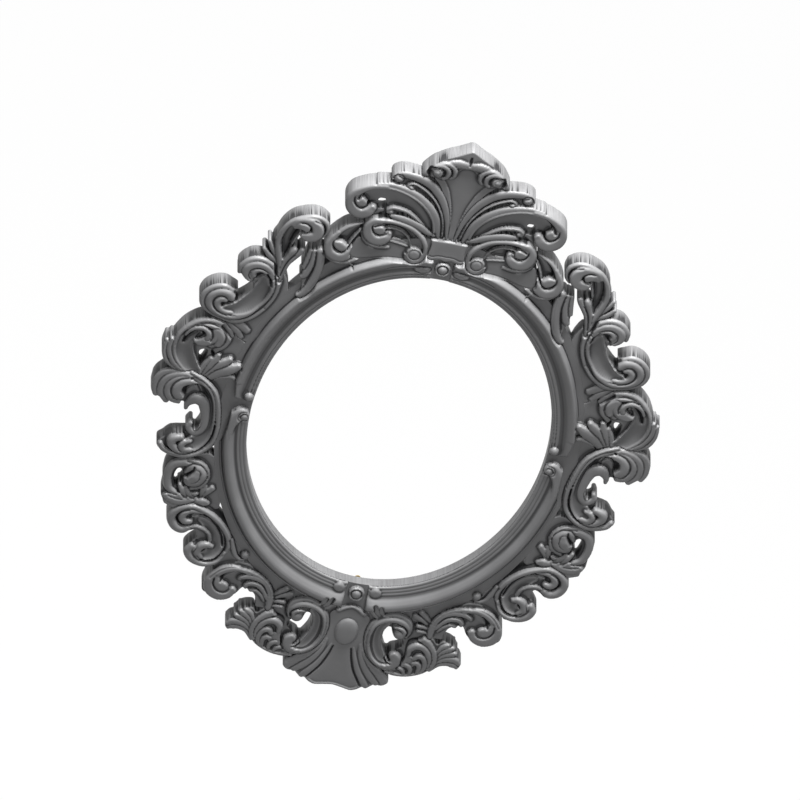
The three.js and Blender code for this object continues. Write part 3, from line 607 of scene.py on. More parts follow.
CARVINGS["crest_mid_scroll"] = [
    field([(34, 278), (52, 297), (78, 300), (98, 282), (118, 296), (126, 268), (112, 262), (76, 272),
           (52, 274)], 21),
    field([(34, 292), (40, 318), (60, 332), (90, 334), (112, 322), (104, 296), (78, 296), (53, 296)], 17),
    leaf([(22, 318, 2, 22), (32, 322, 4, 24), (44, 329, 5.5, 25.5), (58, 334.5, 6, 26), (72, 337.5, 5.5, 26),
          (84, 339, 3, 25)]),
    roll([(54, 295, 1.6, 23), (64, 297, 1.6, 23), (78, 299, 1.6, 23)]),
    roll([(49, 296, 1.4, 23), (53, 306, 1.8, 23.5), (60, 314, 2, 24), (70, 319.5, 2, 24.5),
          (80, 320.5, 2, 25), (87, 319, 1.6, 25)]),
    roll([(78, 288, 2.4, 23.5), (92, 286, 2.8, 24), (105, 289, 2.8, 24), (113, 297, 2.6, 24),
          (117, 307, 2, 23.5)]),
    roll([(53, 283, 2, 26), (52, 278, 2.2, 26), (47, 274.4, 2.4, 26.5), (40, 274, 2.6, 27), (33, 278, 3, 27),
          (29.5, 286, 3.2, 27), (29.5, 297, 3.4, 27.5), (33, 307, 3.6, 28), (41, 317, 3.8, 28),
          (53, 325.5, 3.8, 28), (67, 330, 3.6, 28), (82, 331.6, 3.6, 28), (97, 329.6, 4.5, 28)]),
    pad([(94, 330, 3.6, 28), (104, 326, 6.5, 28.3), (109, 317, 7.6, 28.6), (108, 307, 8, 28.6),
         (101, 299.5, 8, 28.6), (91, 299, 8, 28.6), (84, 305, 7, 28.4), (82, 311, 5, 27)]),
    pad([(102, 321, 4, 28), (97, 317.5, 8.4, 28.6), (94, 315, 7, 28.4)]),
    groove([(83.5, 314.5, 1.2), (85.5, 310.5, 1.4), (93, 307, 1.4), (101, 309.5, 1.4), (105, 316, 1.2),
            (105.5, 321, 0.8)], 3.2),
    groove([(88, 323.6, 1.2), (97, 322.6, 1.8), (103, 319.4, 1)], 4),
    pad([(42, 286, 8.6, 27.4)]),
    circle(42, 286, 9.6, 1.5, 27),
]

CARVINGS["crest_large_frond"] = [
    field([(21, 316), (28, 316), (44, 330), (62, 344), (84, 342), (96, 340), (108, 334), (114, 350),
           (128, 366), (112, 382), (92, 386), (62, 379), (36, 360), (24, 336)], 18.5),
    hole([(94, 347), (104, 345), (106, 352), (105, 360), (97, 361), (94, 355)]),
    leaf([(17, 317, 2.5, 22), (20.6, 330, 4.4, 24), (26, 345, 6, 25.6), (35, 358.6, 6.6, 26.6),
          (47, 370, 6.6, 26.8), (61, 379, 6, 27), (77, 385, 5, 27), (94, 388, 4, 27), (111, 386.6, 3, 27)]),
    roll([(23.5, 317, 1.3, 24), (25.5, 330, 1.8, 25), (30, 344, 2, 26), (37, 356, 2.1, 27),
          (47, 366, 2.1, 27.6), (60, 374.6, 2.1, 28), (76, 381, 2.1, 28), (92, 384, 2.3, 28),
          (108, 383, 3, 28.5)]),
    pad([(100, 385.4, 3, 28.4), (114, 382.4, 4.4, 28.8), (127, 376, 5.6, 29), (138, 366.5, 7, 29.2),
         (141, 354, 8.2, 29.4), (137, 343, 8.8, 29.4), (127, 337.4, 9, 29.4), (117, 341, 8, 29.2),
         (112, 347.5, 6, 28)]),
    pad([(136, 362, 3.4, 28.6), (131, 356.6, 8, 29.4), (127, 354.6, 7, 29.2)]),
    groove([(114, 354, 1.2), (118.6, 350, 1.5), (126, 345.4, 1.5), (134, 349.6, 1.5), (137.6, 356, 1.3),
            (138, 362, 0.8)], 3.4),
    groove([(100, 380, 1), (112, 378.4, 2), (122, 373, 3), (130, 365, 3), (133, 359, 1.5)], 6),
    leaf([(30, 321, 1.2, 22), (40, 331, 2, 23.5), (52, 342, 2.6, 25), (64, 349.8, 2.8, 26),
          (76, 353, 2.8, 26.5), (85, 353, 2.6, 26.5), (91, 349, 2.4, 26), (90.6, 344, 2, 25.5)]),
    ball(86.4, 346, 4, 26.5),
]

CARVINGS["crest_upper_frond"] = [
    field([(9, 320), (15, 322), (24, 352), (42, 380), (64, 394), (80, 388), (94, 394), (84, 408), (56, 404),
           (34, 390), (18, 364)], 19.5),
    leaf([(5.5, 315, 1.6, 22), (7.5, 328, 2.6, 23), (10.5, 345, 3.6, 24), (17, 364, 4.6, 25),
          (27, 382, 5.4, 26), (40, 396, 6, 26), (55, 404, 6, 26), (70, 407.4, 5.6, 26), (83, 408, 5, 26),
          (92, 404.5, 3.6, 25.5), (94.6, 399, 2.4, 25)]),
    roll([(12, 320, 1, 23), (14.6, 336, 1.4, 24), (18.6, 351, 1.7, 24.6), (25.6, 365, 1.9, 25),
          (34.6, 377, 2, 25.4), (46, 387, 2.1, 25.6), (56, 393, 2.2, 25.6), (65, 396.4, 2.4, 25.6),
          (72, 393.6, 2.2, 25.4), (73.6, 388, 1.8, 25)]),
    ball(68.6, 388.6, 4.4, 26.4),
    ball(87, 400.6, 7.6, 26.5),
    groove([(78, 398, 1.5), (82, 401.6, 1.4), (88, 404.6, 1.2)], 2.5),
]

CARVINGS["crest_plaque"] = [
    field([(-6, 462), (0, 462.5), (4, 461), (10, 457.5), (18, 452.6), (27, 448), (36, 442.5), (45, 435),
           (52, 427.5), (57, 420), (59, 415), (57.6, 411), (50, 412), (42, 411.5), (33, 402), (25, 389),
           (18, 375), (12, 352), (9, 330), (8, 316), (-8, 316), (-12, 352)], 24),
    field([(-8, 431), (0, 434), (10, 430), (15, 423), (21, 415), (30, 410.5), (43, 413.5), (33, 402),
           (25, 389), (18, 375), (13, 352), (10, 330), (9, 315), (-9, 315), (-13, 352)], 22.4, over=True),
    field([(-8, 431), (0, 434), (10, 430), (15, 423), (21, 415), (28, 411), (19, 395), (13, 379), (9, 363),
           (6.4, 345), (4.4, 318), (-4.4, 318), (-9, 363)], 20.2, over=True),
    leaf([(-1, 438, 3.6, 26.5), (6, 440, 5.6, 28), (14, 441, 6.6, 29), (22, 440.4, 5.6, 29),
          (30, 439.6, 3, 28)]),
    groove([(0, 452, 1.6), (0, 446, 2.6), (0, 441, 1.4)], 3.5),
    roll([(21, 415.5, 2, 27), (17.4, 421, 3, 29), (17.4, 429, 3.6, 30), (21.6, 436, 3.6, 30.4),
          (29, 439, 3.4, 30.4), (37, 437.4, 3, 30), (45.4, 431, 3, 29), (51.6, 423, 2.8, 28),
          (55, 415.6, 2.4, 26)]),
    roll([(31, 414, 2, 28), (26.4, 418.6, 3, 30), (25.6, 426, 3.6, 31), (29, 432.6, 3.8, 31.5),
          (36, 435.4, 3.6, 31.5), (43.6, 433, 3, 30.6), (48, 427.6, 2, 29)]),
    groove([(44, 431, 2), (49.6, 427, 3), (51.4, 420, 3.6), (49.6, 413.6, 2.4)], 9),
    ball(39, 423.4, 8, 31.5),
    groove([(34, 417, 0.8), (32, 423, 1.2), (34.6, 429.6, 1.3), (41, 431.4, 1)], 3),
    groove([(40, 419.4, 0.7), (37, 423.4, 0.9), (40, 427.4, 0.8), (43.6, 425.4, 0.5)], 1.8),
]

CARVINGS["shoulder_scroll"] = [
    field([(202, 262), (198, 240), (203, 216), (214, 216), (222, 244), (228, 266), (224, 280), (219, 293),
           (211, 306), (203, 312), (192, 318), (180, 319.4), (169, 316), (160, 309), (161, 294), (168, 283),
           (180, 277), (192, 281), (198, 290), (201, 276)], 21),
    field([(197, 301), (206, 303), (213, 290), (216, 274), (214.6, 258), (211, 243), (207, 240), (206, 252),
           (204, 264), (202, 278)], 14, over=True),
    leaf([(219, 244, 3, 24), (226, 254, 3.4, 25), (232, 265, 2.6, 24.5)]),
    leaf([(216, 234, 3, 24), (227, 242, 4, 25), (236, 251, 3, 24)]),
    roll([(168, 283.4, 2, 24), (162.6, 291, 2.6, 25), (161.4, 300, 3, 26), (165, 309, 3.4, 26.5),
          (173, 315, 3.6, 27), (184, 316.4, 3.6, 27.5), (196, 312.6, 3.6, 28), (207, 306, 3.8, 28),
          (215.4, 294.6, 3.8, 27.6), (220, 281, 3.8, 27), (221.4, 266, 4, 26.5), (217, 250, 4.4, 26.5),
          (211, 232, 4.6, 26.5), (208, 216, 4.4, 26)]),
    pad([(206, 300, 4, 28.6), (200, 307, 5, 29.6), (190, 308.6, 6.6, 30.6), (180, 307, 8, 31),
         (174.6, 300, 8.4, 31.4), (175, 291, 8.6, 31.6), (183, 285.6, 7.6, 31.4), (191, 286.6, 5.4, 30)]),
    pad([(205, 296, 2.6, 28), (198, 301.6, 5.6, 30.4), (191, 300.4, 6.4, 31.2), (189, 297.6, 4.6, 31)]),
    groove([(196, 290.6, 1.4), (189, 291.6, 1.5), (184, 296, 1.5), (184.4, 302.6, 1.4), (190, 306.8, 1.2),
            (198, 306.6, 0.8)], 3.2),
    groove([(186, 277.6, 1), (174, 280.6, 1.2), (166.6, 288.6, 1.3), (165.6, 299, 1.3), (170.6, 308.6, 1.3),
            (181, 313.2, 1.1)], 2.6),
    roll([(202.6, 268, 2, 25), (199.6, 280, 2.2, 26), (196.6, 290, 2, 27)]),
    roll([(206.4, 206, 2.6, 25), (204.6, 222, 3.2, 26), (201, 236, 3.6, 26.6), (195.4, 246.6, 4, 27),
          (190, 255.6, 4.4, 27.6), (187.6, 261, 4.4, 27.6)]),
    roll([(208.4, 224, 2.6, 26), (206.4, 238, 3.4, 27), (203, 247.6, 4, 27.6), (199.4, 256, 4.6, 28.4),
          (197.6, 259.6, 4.4, 28)]),
    groove([(207, 214, 0.8), (205, 230, 1), (200.6, 243, 1.1), (195, 252, 1)], 3),
]

CARVINGS["crest_side_scroll"] = [
    field([(118, 316), (128, 314), (142, 302), (150, 288), (140, 262), (126, 268), (121, 284), (128, 294),
           (122, 306)], 17),
    field([(112, 262), (126, 250), (146, 252), (160, 262), (150, 282), (126, 274)], 20.8),
    hole([(118, 303), (121.6, 296), (125.4, 284), (124, 277), (119, 280), (117, 292)]),
    roll([(110, 271.6, 1.6, 23), (114, 261.4, 2.4, 24), (124, 253.6, 2.8, 24.4), (136, 250.4, 3, 24.6),
          (148, 253.8, 3, 24.6), (157.6, 262, 2.6, 24.6)]),
    roll([(119, 308, 1.6, 24), (124.6, 297.6, 1.9, 25), (128.6, 287, 1.9, 26), (130, 281, 1.4, 26)]),
    roll([(119, 319.4, 1.8, 24), (128, 316, 2.8, 26.6), (138, 309.6, 3.4, 28), (147, 299, 3.8, 29)]),
    pad([(146, 300.6, 3.6, 29), (152.6, 289, 4.6, 29.6), (155.4, 277.6, 5.8, 30), (151.6, 267.6, 7, 30.4),
         (141, 262.4, 7.6, 30.4), (131.4, 265.4, 7.2, 30.2), (125.6, 273.4, 5.6, 29.4),
         (124.6, 279, 3.4, 28)]),
    pad([(149, 284, 3, 29), (142, 281.4, 7.4, 30), (137.6, 279, 7.2, 30.2)]),
    groove([(128, 281.6, 1.1), (130.6, 276.4, 1.4), (138.6, 271, 1.4), (146.6, 274, 1.4), (150.6, 281, 1.2),
            (150.6, 288, 0.8)], 3.2),
    groove([(124, 313.6, 1.4), (133, 308, 2.6), (141, 299, 3), (145.6, 289.6, 2.2)], 6),
    leaf([(123, 254.6, 2.6, 24), (119.6, 250.6, 2, 23.4), (117, 248.6, 1.4, 23)]),
]

CARVINGS["middle_scroll"] = [
    field([(228, 36), (226, -60), (246, -70), (246, 0), (262, 24)], 20.5),
    field([(262, 32), (252, 19), (244, 9), (240, -5), (233, -11), (229, -30), (229, -49), (230, -63),
           (234, -75), (242, -84), (252, -93), (264, -98), (278, -100), (288, -99), (297, -98), (304, -93),
           (308, -88), (308.5, -81), (303, -75), (298, -68), (293, -64), (285, -63.5), (278, -60.5),
           (270, -60), (262, -62), (254, -52), (252, -38), (254, -24), (262, -16), (272, -12), (281, -14),
           (289, -13), (298, -15), (305, -14), (311, -18.5), (320, -13), (328, -10), (333, -4), (335.4, 4),
           (334, 15), (330, 27), (326, 35), (318, 38.5), (300, 38.5), (280, 39)], 20),
    leaf([(280, 36, 3, 26), (300, 36, 3.6, 27), (319, 33, 4.6, 27), (328.6, 22, 5.4, 26.6),
          (330.6, 6, 5.4, 26.4), (327, -5, 5, 26)]),
    leaf([(284, 34, 3, 28), (300, 33, 4.4, 29), (315, 26, 5.4, 29), (321.6, 13, 5.6, 28.6),
          (320.6, -1, 5.4, 28), (312, -12, 5, 27.4)]),
    leaf([(290, 30, 3, 29), (303, 26, 5, 30.4), (311.6, 15, 6, 30.4), (311.6, 3, 6, 30), (305, -7, 5.4, 29.4),
          (296, -10, 4.4, 28.6)]),
    leaf([(276, 22, 3.6, 29), (287, 24.6, 4.6, 30.6), (297.6, 20, 6, 31.6), (302, 10, 7, 32),
          (299, 2, 6.4, 31.6), (293.6, -1.6, 4.6, 30)]),
    groove([(290, 30.6, 0.7), (301, 26.6, 1.2), (308.6, 17, 1.4), (309, 5, 1.4), (303, -5.6, 1)], 2.4),
    roll([(288, 38, 3, 27), (276, 34, 3.5, 30), (262, 25, 3.5, 31), (250, 12, 3.5, 31), (243, -6, 3.5, 31),
          (238, -28, 3.5, 31), (236, -50, 3.5, 31), (240, -70, 3.5, 30.5), (252, -85, 3.5, 30),
          (267, -93.5, 4, 29), (283, -95, 4, 28), (298, -91, 4.5, 26), (304, -84, 4, 25)]),
    roll([(282, 31, 3, 28), (270, 26, 3.5, 30), (258, 15, 3.5, 30.5), (251, 0, 3.5, 30.5),
          (246, -22, 3.5, 30), (244, -46, 3.5, 30), (248, -66, 3.5, 30), (259, -80, 3.5, 30),
          (270, -86, 4, 30), (281, -86, 5, 30.5), (290, -78, 6.5, 31), (289, -70, 6.5, 31),
          (280, -66, 5, 30)]),
    trough([(280, 22, 2, 26), (268, 16, 5, 25), (259, 2, 6, 24.5), (254, -18, 7, 26), (252, -40, 8, 28),
            (255, -58, 11, 30), (262, -72, 11, 30.5), (271, -76, 7, 31)]),
    groove([(282, 21, 2.5), (270, 14, 5), (262, 2, 5), (256, -12, 3), (251, -30, 1.5)], 6),
    roll([(264, -83, 4, 30), (273, -83, 5, 31), (277, -77, 5, 31.5), (273, -71, 4, 31), (267, -69, 3, 30)]),
    leaf([(283, -22, 2.5, 23), (282, -13, 4.5, 25), (273, -3, 8.5, 27.5), (262, -8, 8.5, 27),
          (256, -24, 6.5, 27), (254, -40, 5.5, 27), (258, -52, 5, 27), (266, -56, 5, 27),
          (273, -50, 4.5, 26.5), (272, -43, 3, 26)]),
    groove([(276, 17, 2), (284, 16, 3.4), (289.6, 9, 3.4), (290, 2, 2)], 6),
]

CARVINGS["upper_scroll"] = [
    field([(200, 214), (190, 180), (206, 140), (224, 96), (250, 126), (224, 168), (212, 206)], 20.6),
    field([(202, 205), (203, 195), (208, 179), (214, 163), (222, 151), (232, 140), (242, 131), (253, 127),
           (264, 130), (276, 132), (284, 134), (294, 141), (300, 147), (303, 154), (303, 161), (300, 170),
           (295, 177), (288, 183), (281, 186), (274, 187), (267, 184), (260, 181), (254, 177), (249, 173),
           (244, 177), (241, 185), (240, 192), (246, 198), (255, 206), (262, 206), (264, 212), (262, 220),
           (258, 229), (253, 236), (247, 239), (240, 240), (228, 238), (216, 231), (207, 220)], 23.5),
    leaf([(262, 121, 4, 24), (254, 115, 5, 25), (248, 105, 3, 24)]),
    leaf([(258, 127, 4, 24), (246, 118, 5.5, 25.5), (237, 106, 4, 24)]),
    leaf([(256, 131, 4, 24), (243, 127, 6, 26), (231, 117, 5, 24.5)]),
    roll([(216, 158, 3, 26.6), (208.4, 178, 3.4, 27.4), (206.4, 198, 3.6, 28), (210.6, 216, 3.8, 28),
          (221, 229.6, 4, 28.4), (236, 235.6, 4.2, 28.4), (250, 232, 4.6, 28.4), (259, 220.6, 5, 28),
          (260, 211, 3.6, 27)]),
    roll([(217, 157, 3, 26.6), (227, 144.4, 3.4, 27), (240, 134.6, 3.6, 27.4), (254, 130.6, 3.6, 27.6),
          (269, 133.6, 3.6, 27.6), (283, 138.4, 3.8, 27.8), (295, 146.6, 4.2, 28), (299.4, 158, 4.4, 28),
          (296, 170, 4.6, 28), (287, 179, 4.6, 28), (275, 182.6, 4.4, 28), (264, 179, 3.4, 27.4)]),
    pad([(216, 208, 2.6, 29.4), (220.6, 219, 4.4, 30.4), (230, 226, 5.6, 31), (241, 226.6, 6.6, 31),
         (249.6, 220.6, 7.6, 31), (250.6, 211, 7.2, 30.6), (246, 204.6, 5.6, 29.6)]),
    roll([(226, 216.6, 1.8, 30), (232, 220.4, 3, 30.8), (239, 219.6, 3.8, 31), (243, 213.6, 4, 31),
          (240.6, 208.6, 3.4, 30.4)]),
    groove([(222, 218, 0.9), (230, 222.6, 1.2), (239, 223.6, 1.4), (247, 219, 1.4), (248.6, 210, 1.2),
            (245, 203.6, 0.9)], 2.6),
    roll([(226, 160, 3, 29), (217, 176, 3.4, 29.6), (213.4, 192, 3.4, 29.8), (215, 206, 3, 29.6)]),
    roll([(226, 160, 3, 29), (234, 149, 3.4, 29.6), (245, 141.4, 3.8, 30), (258, 138, 4.2, 30.4),
          (272, 140.6, 4.8, 30.8), (284, 147, 5.6, 31.2), (290, 157, 6.2, 31.4), (287.6, 168, 6.4, 31.4),
          (278.6, 174.6, 6.4, 31.4), (268.6, 174, 6.6, 31.4), (262, 168.4, 6, 30.8)]),
    trough([(224, 204, 7.6, 26), (225.6, 192, 10.4, 27), (231, 177, 12.4, 28), (240, 162.4, 12.6, 29.4),
            (252, 153, 10.4, 30.6), (264, 150.4, 7.4, 31)]),
    roll([(258, 145, 2.6, 30), (268, 145.6, 4, 31), (276.6, 150.6, 5, 31.4), (279.6, 158.6, 5.4, 31.6),
          (275, 164.6, 5, 31.4), (269.6, 163.4, 3.6, 30.6)]),
    groove([(260, 160.6, 1.6), (266, 157.4, 1.6), (272, 155.6, 1)], 4),
    groove([(264, 140.4, 0.8), (276, 145, 1.1), (284, 153, 1.3), (285, 162, 1.3), (279, 169.6, 1.2),
            (270, 169.4, 0.9)], 2.4),
    groove([(215.6, 197, 1.6), (218.4, 206, 2.4), (224.4, 211.4, 3), (232, 211, 3.2), (238.6, 205.6, 3)], 7),
    hole([(237.6, 190), (240.6, 181), (249, 170.6), (257.4, 163.4), (258.4, 170), (256.4, 177.6), (250, 184),
          (244, 194), (239.6, 195.6)]),
]

CARVINGS["cheek_scroll"] = [
    field([(228, 108), (230, 36), (256, 36), (256, 104)], 20.5),
    field([(252, 123), (266, 129), (280, 133), (291, 129), (297, 125), (303, 121), (309, 115), (315, 107),
           (320, 98), (324, 89), (330, 85), (332, 76), (333.5, 64), (329, 53), (325, 43), (321, 40),
           (300, 37), (280, 38), (262, 40), (262, 60), (270, 76), (256, 83), (250, 95), (249, 107)], 22),
    hole([(274, 74), (280, 76), (285, 72), (284, 62), (280, 52), (276, 61)]),
    hole([(258, 72), (260, 62), (262, 74), (260, 80)]),
    leaf([(272, 29, 5, 25), (257, 39, 6, 27), (244, 42, 6, 28), (234, 40, 5, 28), (236, 33, 3.5, 26),
          (241, 27, 1.5, 25)]),
    leaf([(276, 34, 4.5, 26), (275, 50, 4.5, 27), (268, 65, 3.5, 27)]),
    leaf([(272, 34, 5, 26), (267, 51, 5.5, 28), (262, 64, 5.5, 28.5), (259, 73, 3.5, 28)]),
    leaf([(269, 33, 5, 26), (261, 47, 6, 28), (252, 60, 7, 29.5), (243, 69, 4.5, 29)]),
    leaf([(266, 32, 5, 26), (254, 45, 7, 28.5), (240, 54, 8, 30), (230, 60, 5.5, 29)]),
    roll([(331, 83, 2.5, 27), (331, 66, 3.5, 28), (324, 50, 3.5, 28), (308, 40, 3, 27), (290, 34, 2, 26)]),
    roll([(325, 87, 3, 29), (325, 70, 4, 29.5), (317, 53, 4, 29.5), (304, 42, 3.5, 28.5), (290, 35, 2, 27)]),
    roll([(264, 79, 4, 26), (254, 91, 4, 28), (252, 106, 4, 29), (260, 120, 4, 29), (276, 126.5, 4, 30),
          (292, 124, 4, 30), (304, 115, 4, 30), (313, 103, 4, 30), (318, 90, 3.5, 30.5), (318, 73, 4, 30.5),
          (311, 57, 4, 30), (300, 45, 3.5, 29), (289, 36, 2.5, 28)]),
    roll([(272, 86, 5, 27), (261, 96, 5, 30), (261, 108, 5, 31), (270, 118, 5, 31.5), (285, 119, 5, 31),
          (298, 112, 5, 31), (307, 101, 4, 30.5)]),
    trough([(296, 108, 6, 27), (304, 99, 9, 28), (307, 84, 11.5, 29), (304, 68, 12.5, 29),
            (296, 54, 11.5, 29), (286, 42, 9, 28.5)]),
    groove([(286, 104, 3), (292, 108, 4), (300, 103, 4.6), (306, 94, 3.6), (309, 84, 2)], 8),
    pad([(264, 92, 5, 30), (262.6, 103, 7, 31), (270, 112, 6, 31), (272, 103, 8, 31), (280, 94, 8, 31),
         (288, 90.6, 5.6, 30.6), (294, 90.6, 3, 30)]),
    roll([(309, 98, 2.4, 29.6), (304, 107, 3, 30.6), (295, 113, 3.6, 31.4), (286, 112.6, 4, 31.8),
          (279.6, 106.6, 4.4, 32), (280.4, 99.6, 4.2, 31.6)]),
    groove([(275, 95.6, 1.2), (273.6, 104, 1.5), (278, 113, 1.5), (288, 118.4, 1.4), (299, 115.6, 1.1)], 3),
    groove([(256, 96, 1), (257, 107, 1.3), (265, 118, 1.3), (279, 122.6, 1.2), (293, 120, 1)], 2.6),
]

CARVINGS["hip_scroll"] = [
    field([(196, -262), (178, -226), (188, -196), (214, -174), (226, -184), (206, -206), (210, -238)], 20.6),
    field([(177, -215), (178, -227), (184, -243), (196, -263), (208, -265), (220, -263.5), (229, -259),
           (235, -252), (238, -245), (237, -238), (231, -229), (225, -222), (228, -211), (236, -213),
           (244, -219), (255, -218), (265, -210), (271, -197), (269, -187), (262, -177), (252, -170),
           (240, -166), (228, -167.5), (214, -173), (200, -184), (188, -197), (181, -206)], 22.5),
    roll([(182, -234, 3, 27), (181.4, -221, 3.8, 28.6), (186.6, -207, 4, 29.6), (197, -193.4, 4, 30),
          (209, -183, 4, 30.4), (223, -175.4, 4, 30.6), (238, -171.4, 4.2, 30.6), (252, -175, 4.6, 30.8),
          (262.4, -184, 5.4, 31), (264.6, -196, 6, 31), (258, -206.4, 6.6, 31), (248, -210, 6.6, 30.8),
          (240.6, -206, 5.4, 30)]),
    roll([(226, -180, 2.4, 29), (238, -177.6, 4, 30.4), (247.6, -181, 5.6, 31), (251.6, -189.6, 6, 31.2),
          (246.6, -196, 5.6, 31), (240, -195.4, 4.6, 30.4)]),
    groove([(233, -202.6, 1.4), (241, -201.4, 1.4), (249, -202.4, 1.5), (255.6, -197.6, 1.5),
            (257.6, -190, 1.4), (253.6, -181.4, 1.3), (244, -176.4, 1)], 3),
    trough([(224, -192, 5, 26), (212, -199, 8, 26.5), (203, -211, 10, 27.5), (198, -226, 11, 29),
            (203, -240, 9.6, 30), (213, -246, 6, 30.4)]),
    groove([(240, -186.6, 3), (230, -183.6, 4), (216, -187.6, 3.6), (203, -198, 3), (194, -211, 2.2),
            (189, -226, 1.4)], 7),
    roll([(206, -224, 1.8, 26), (209.6, -213, 2.4, 27.4), (218, -205.4, 2.8, 28), (229, -202.6, 3, 28),
          (236, -204.6, 2.4, 27.6)]),
    roll([(184, -236, 2.6, 28), (190, -249.6, 3.4, 29), (201.6, -257.6, 4, 29.6), (214.6, -258, 5, 30),
          (226, -252.6, 6.4, 30), (231.6, -243.6, 6.4, 29.6), (229, -235, 5, 29)]),
    roll([(203.6, -228.6, 3.6, 30), (210.4, -227.4, 5, 31), (217.6, -231.6, 6, 31.4), (220.6, -240, 6, 31.4),
          (215, -248, 4.4, 30.6)]),
    groove([(186, -240, 0.9), (193, -249, 1.2), (203, -252.4, 1.3), (213, -251, 1.3),
            (219.6, -245.6, 1)], 2.8),
    groove([(224, -226, 1.5), (222.6, -234, 1.5), (225, -242, 1)], 2.6),
    roll([(153.6, -241.6, 1.8, 24), (160, -244, 2.6, 25), (168, -239.6, 3.2, 26), (173.6, -229.6, 3.6, 26.6),
          (179, -215, 3, 26)]),
    ball(156.4, -235.4, 6.4, 28),
    groove([(161.6, -232.6, 0.8), (162.6, -238, 1), (158, -241, 0.9)], 2),
]

CARVINGS["lower_scroll"] = [
    field([(228, -92), (206, -172), (268, -178), (278, -160), (266, -152), (262, -132), (262, -102)], 20.5),
    field([(246, -99), (262, -98), (278, -102), (288, -112), (290, -125), (287, -143), (287, -152),
           (286, -163), (281, -172), (273, -177), (262, -175), (244, -170), (236, -140), (230, -124),
           (234, -108)], 21),
    hole([(268, -119), (273, -121), (275, -132), (272, -145), (269, -147), (265, -138), (262, -127)]),
    pad([(232, -157, 2.4, 24), (228, -147, 4.4, 26.4), (222, -140, 4.4, 26.4)]),
    pad([(234, -155, 2.4, 24), (233, -145, 4, 26), (231.6, -138, 3.4, 25.6)]),
    pad([(242, -166, 3, 25), (254, -172.4, 4, 27), (266, -174.6, 4.4, 28), (277, -171, 4.4, 27.6)]),
    pad([(240, -160, 3, 26), (252, -166, 4.6, 28.4), (266, -167.4, 5, 29.2), (279, -162, 5, 28.6)]),
    pad([(240, -152, 3, 26), (250, -156.6, 4.4, 28), (262, -158.6, 4.8, 28.6), (274, -158, 4, 28)]),
    leaf([(244, -158, 3, 25), (252, -152, 4, 27), (257, -145, 3, 27)]),
    leaf([(254, -158, 3, 26), (260, -150, 4, 28), (265, -142, 3, 27)]),
    roll([(268, -155, 3, 27.6), (278, -150, 5.4, 28), (283, -138, 6, 28), (283.6, -124, 6, 28),
          (279, -112, 6.5, 28), (268, -106, 7, 28.5), (256, -104, 6, 28)]),
    roll([(262, -100, 3, 27), (246, -102, 3.5, 28.5), (235, -112, 3.5, 28.5), (232, -126, 3.5, 28),
          (238, -139, 3.5, 27), (249, -146, 3, 25)]),
    roll([(262, -124, 3, 26), (256, -112, 6, 29), (247, -111, 8, 31), (241, -120, 9, 32),
          (246, -131, 9, 31.5), (255, -135, 6, 29), (260, -130, 3, 27)]),
    leaf([(247, -116, 5, 31.5), (249, -124, 7, 32.5), (254, -130, 5, 31)]),
    groove([(252, -108, 1), (253, -116, 2), (258, -123, 3), (264, -126, 3)], 5),
    leaf([(238, -168, 4, 27), (231, -163, 6.5, 29), (223, -164, 3.5, 27)]),
]

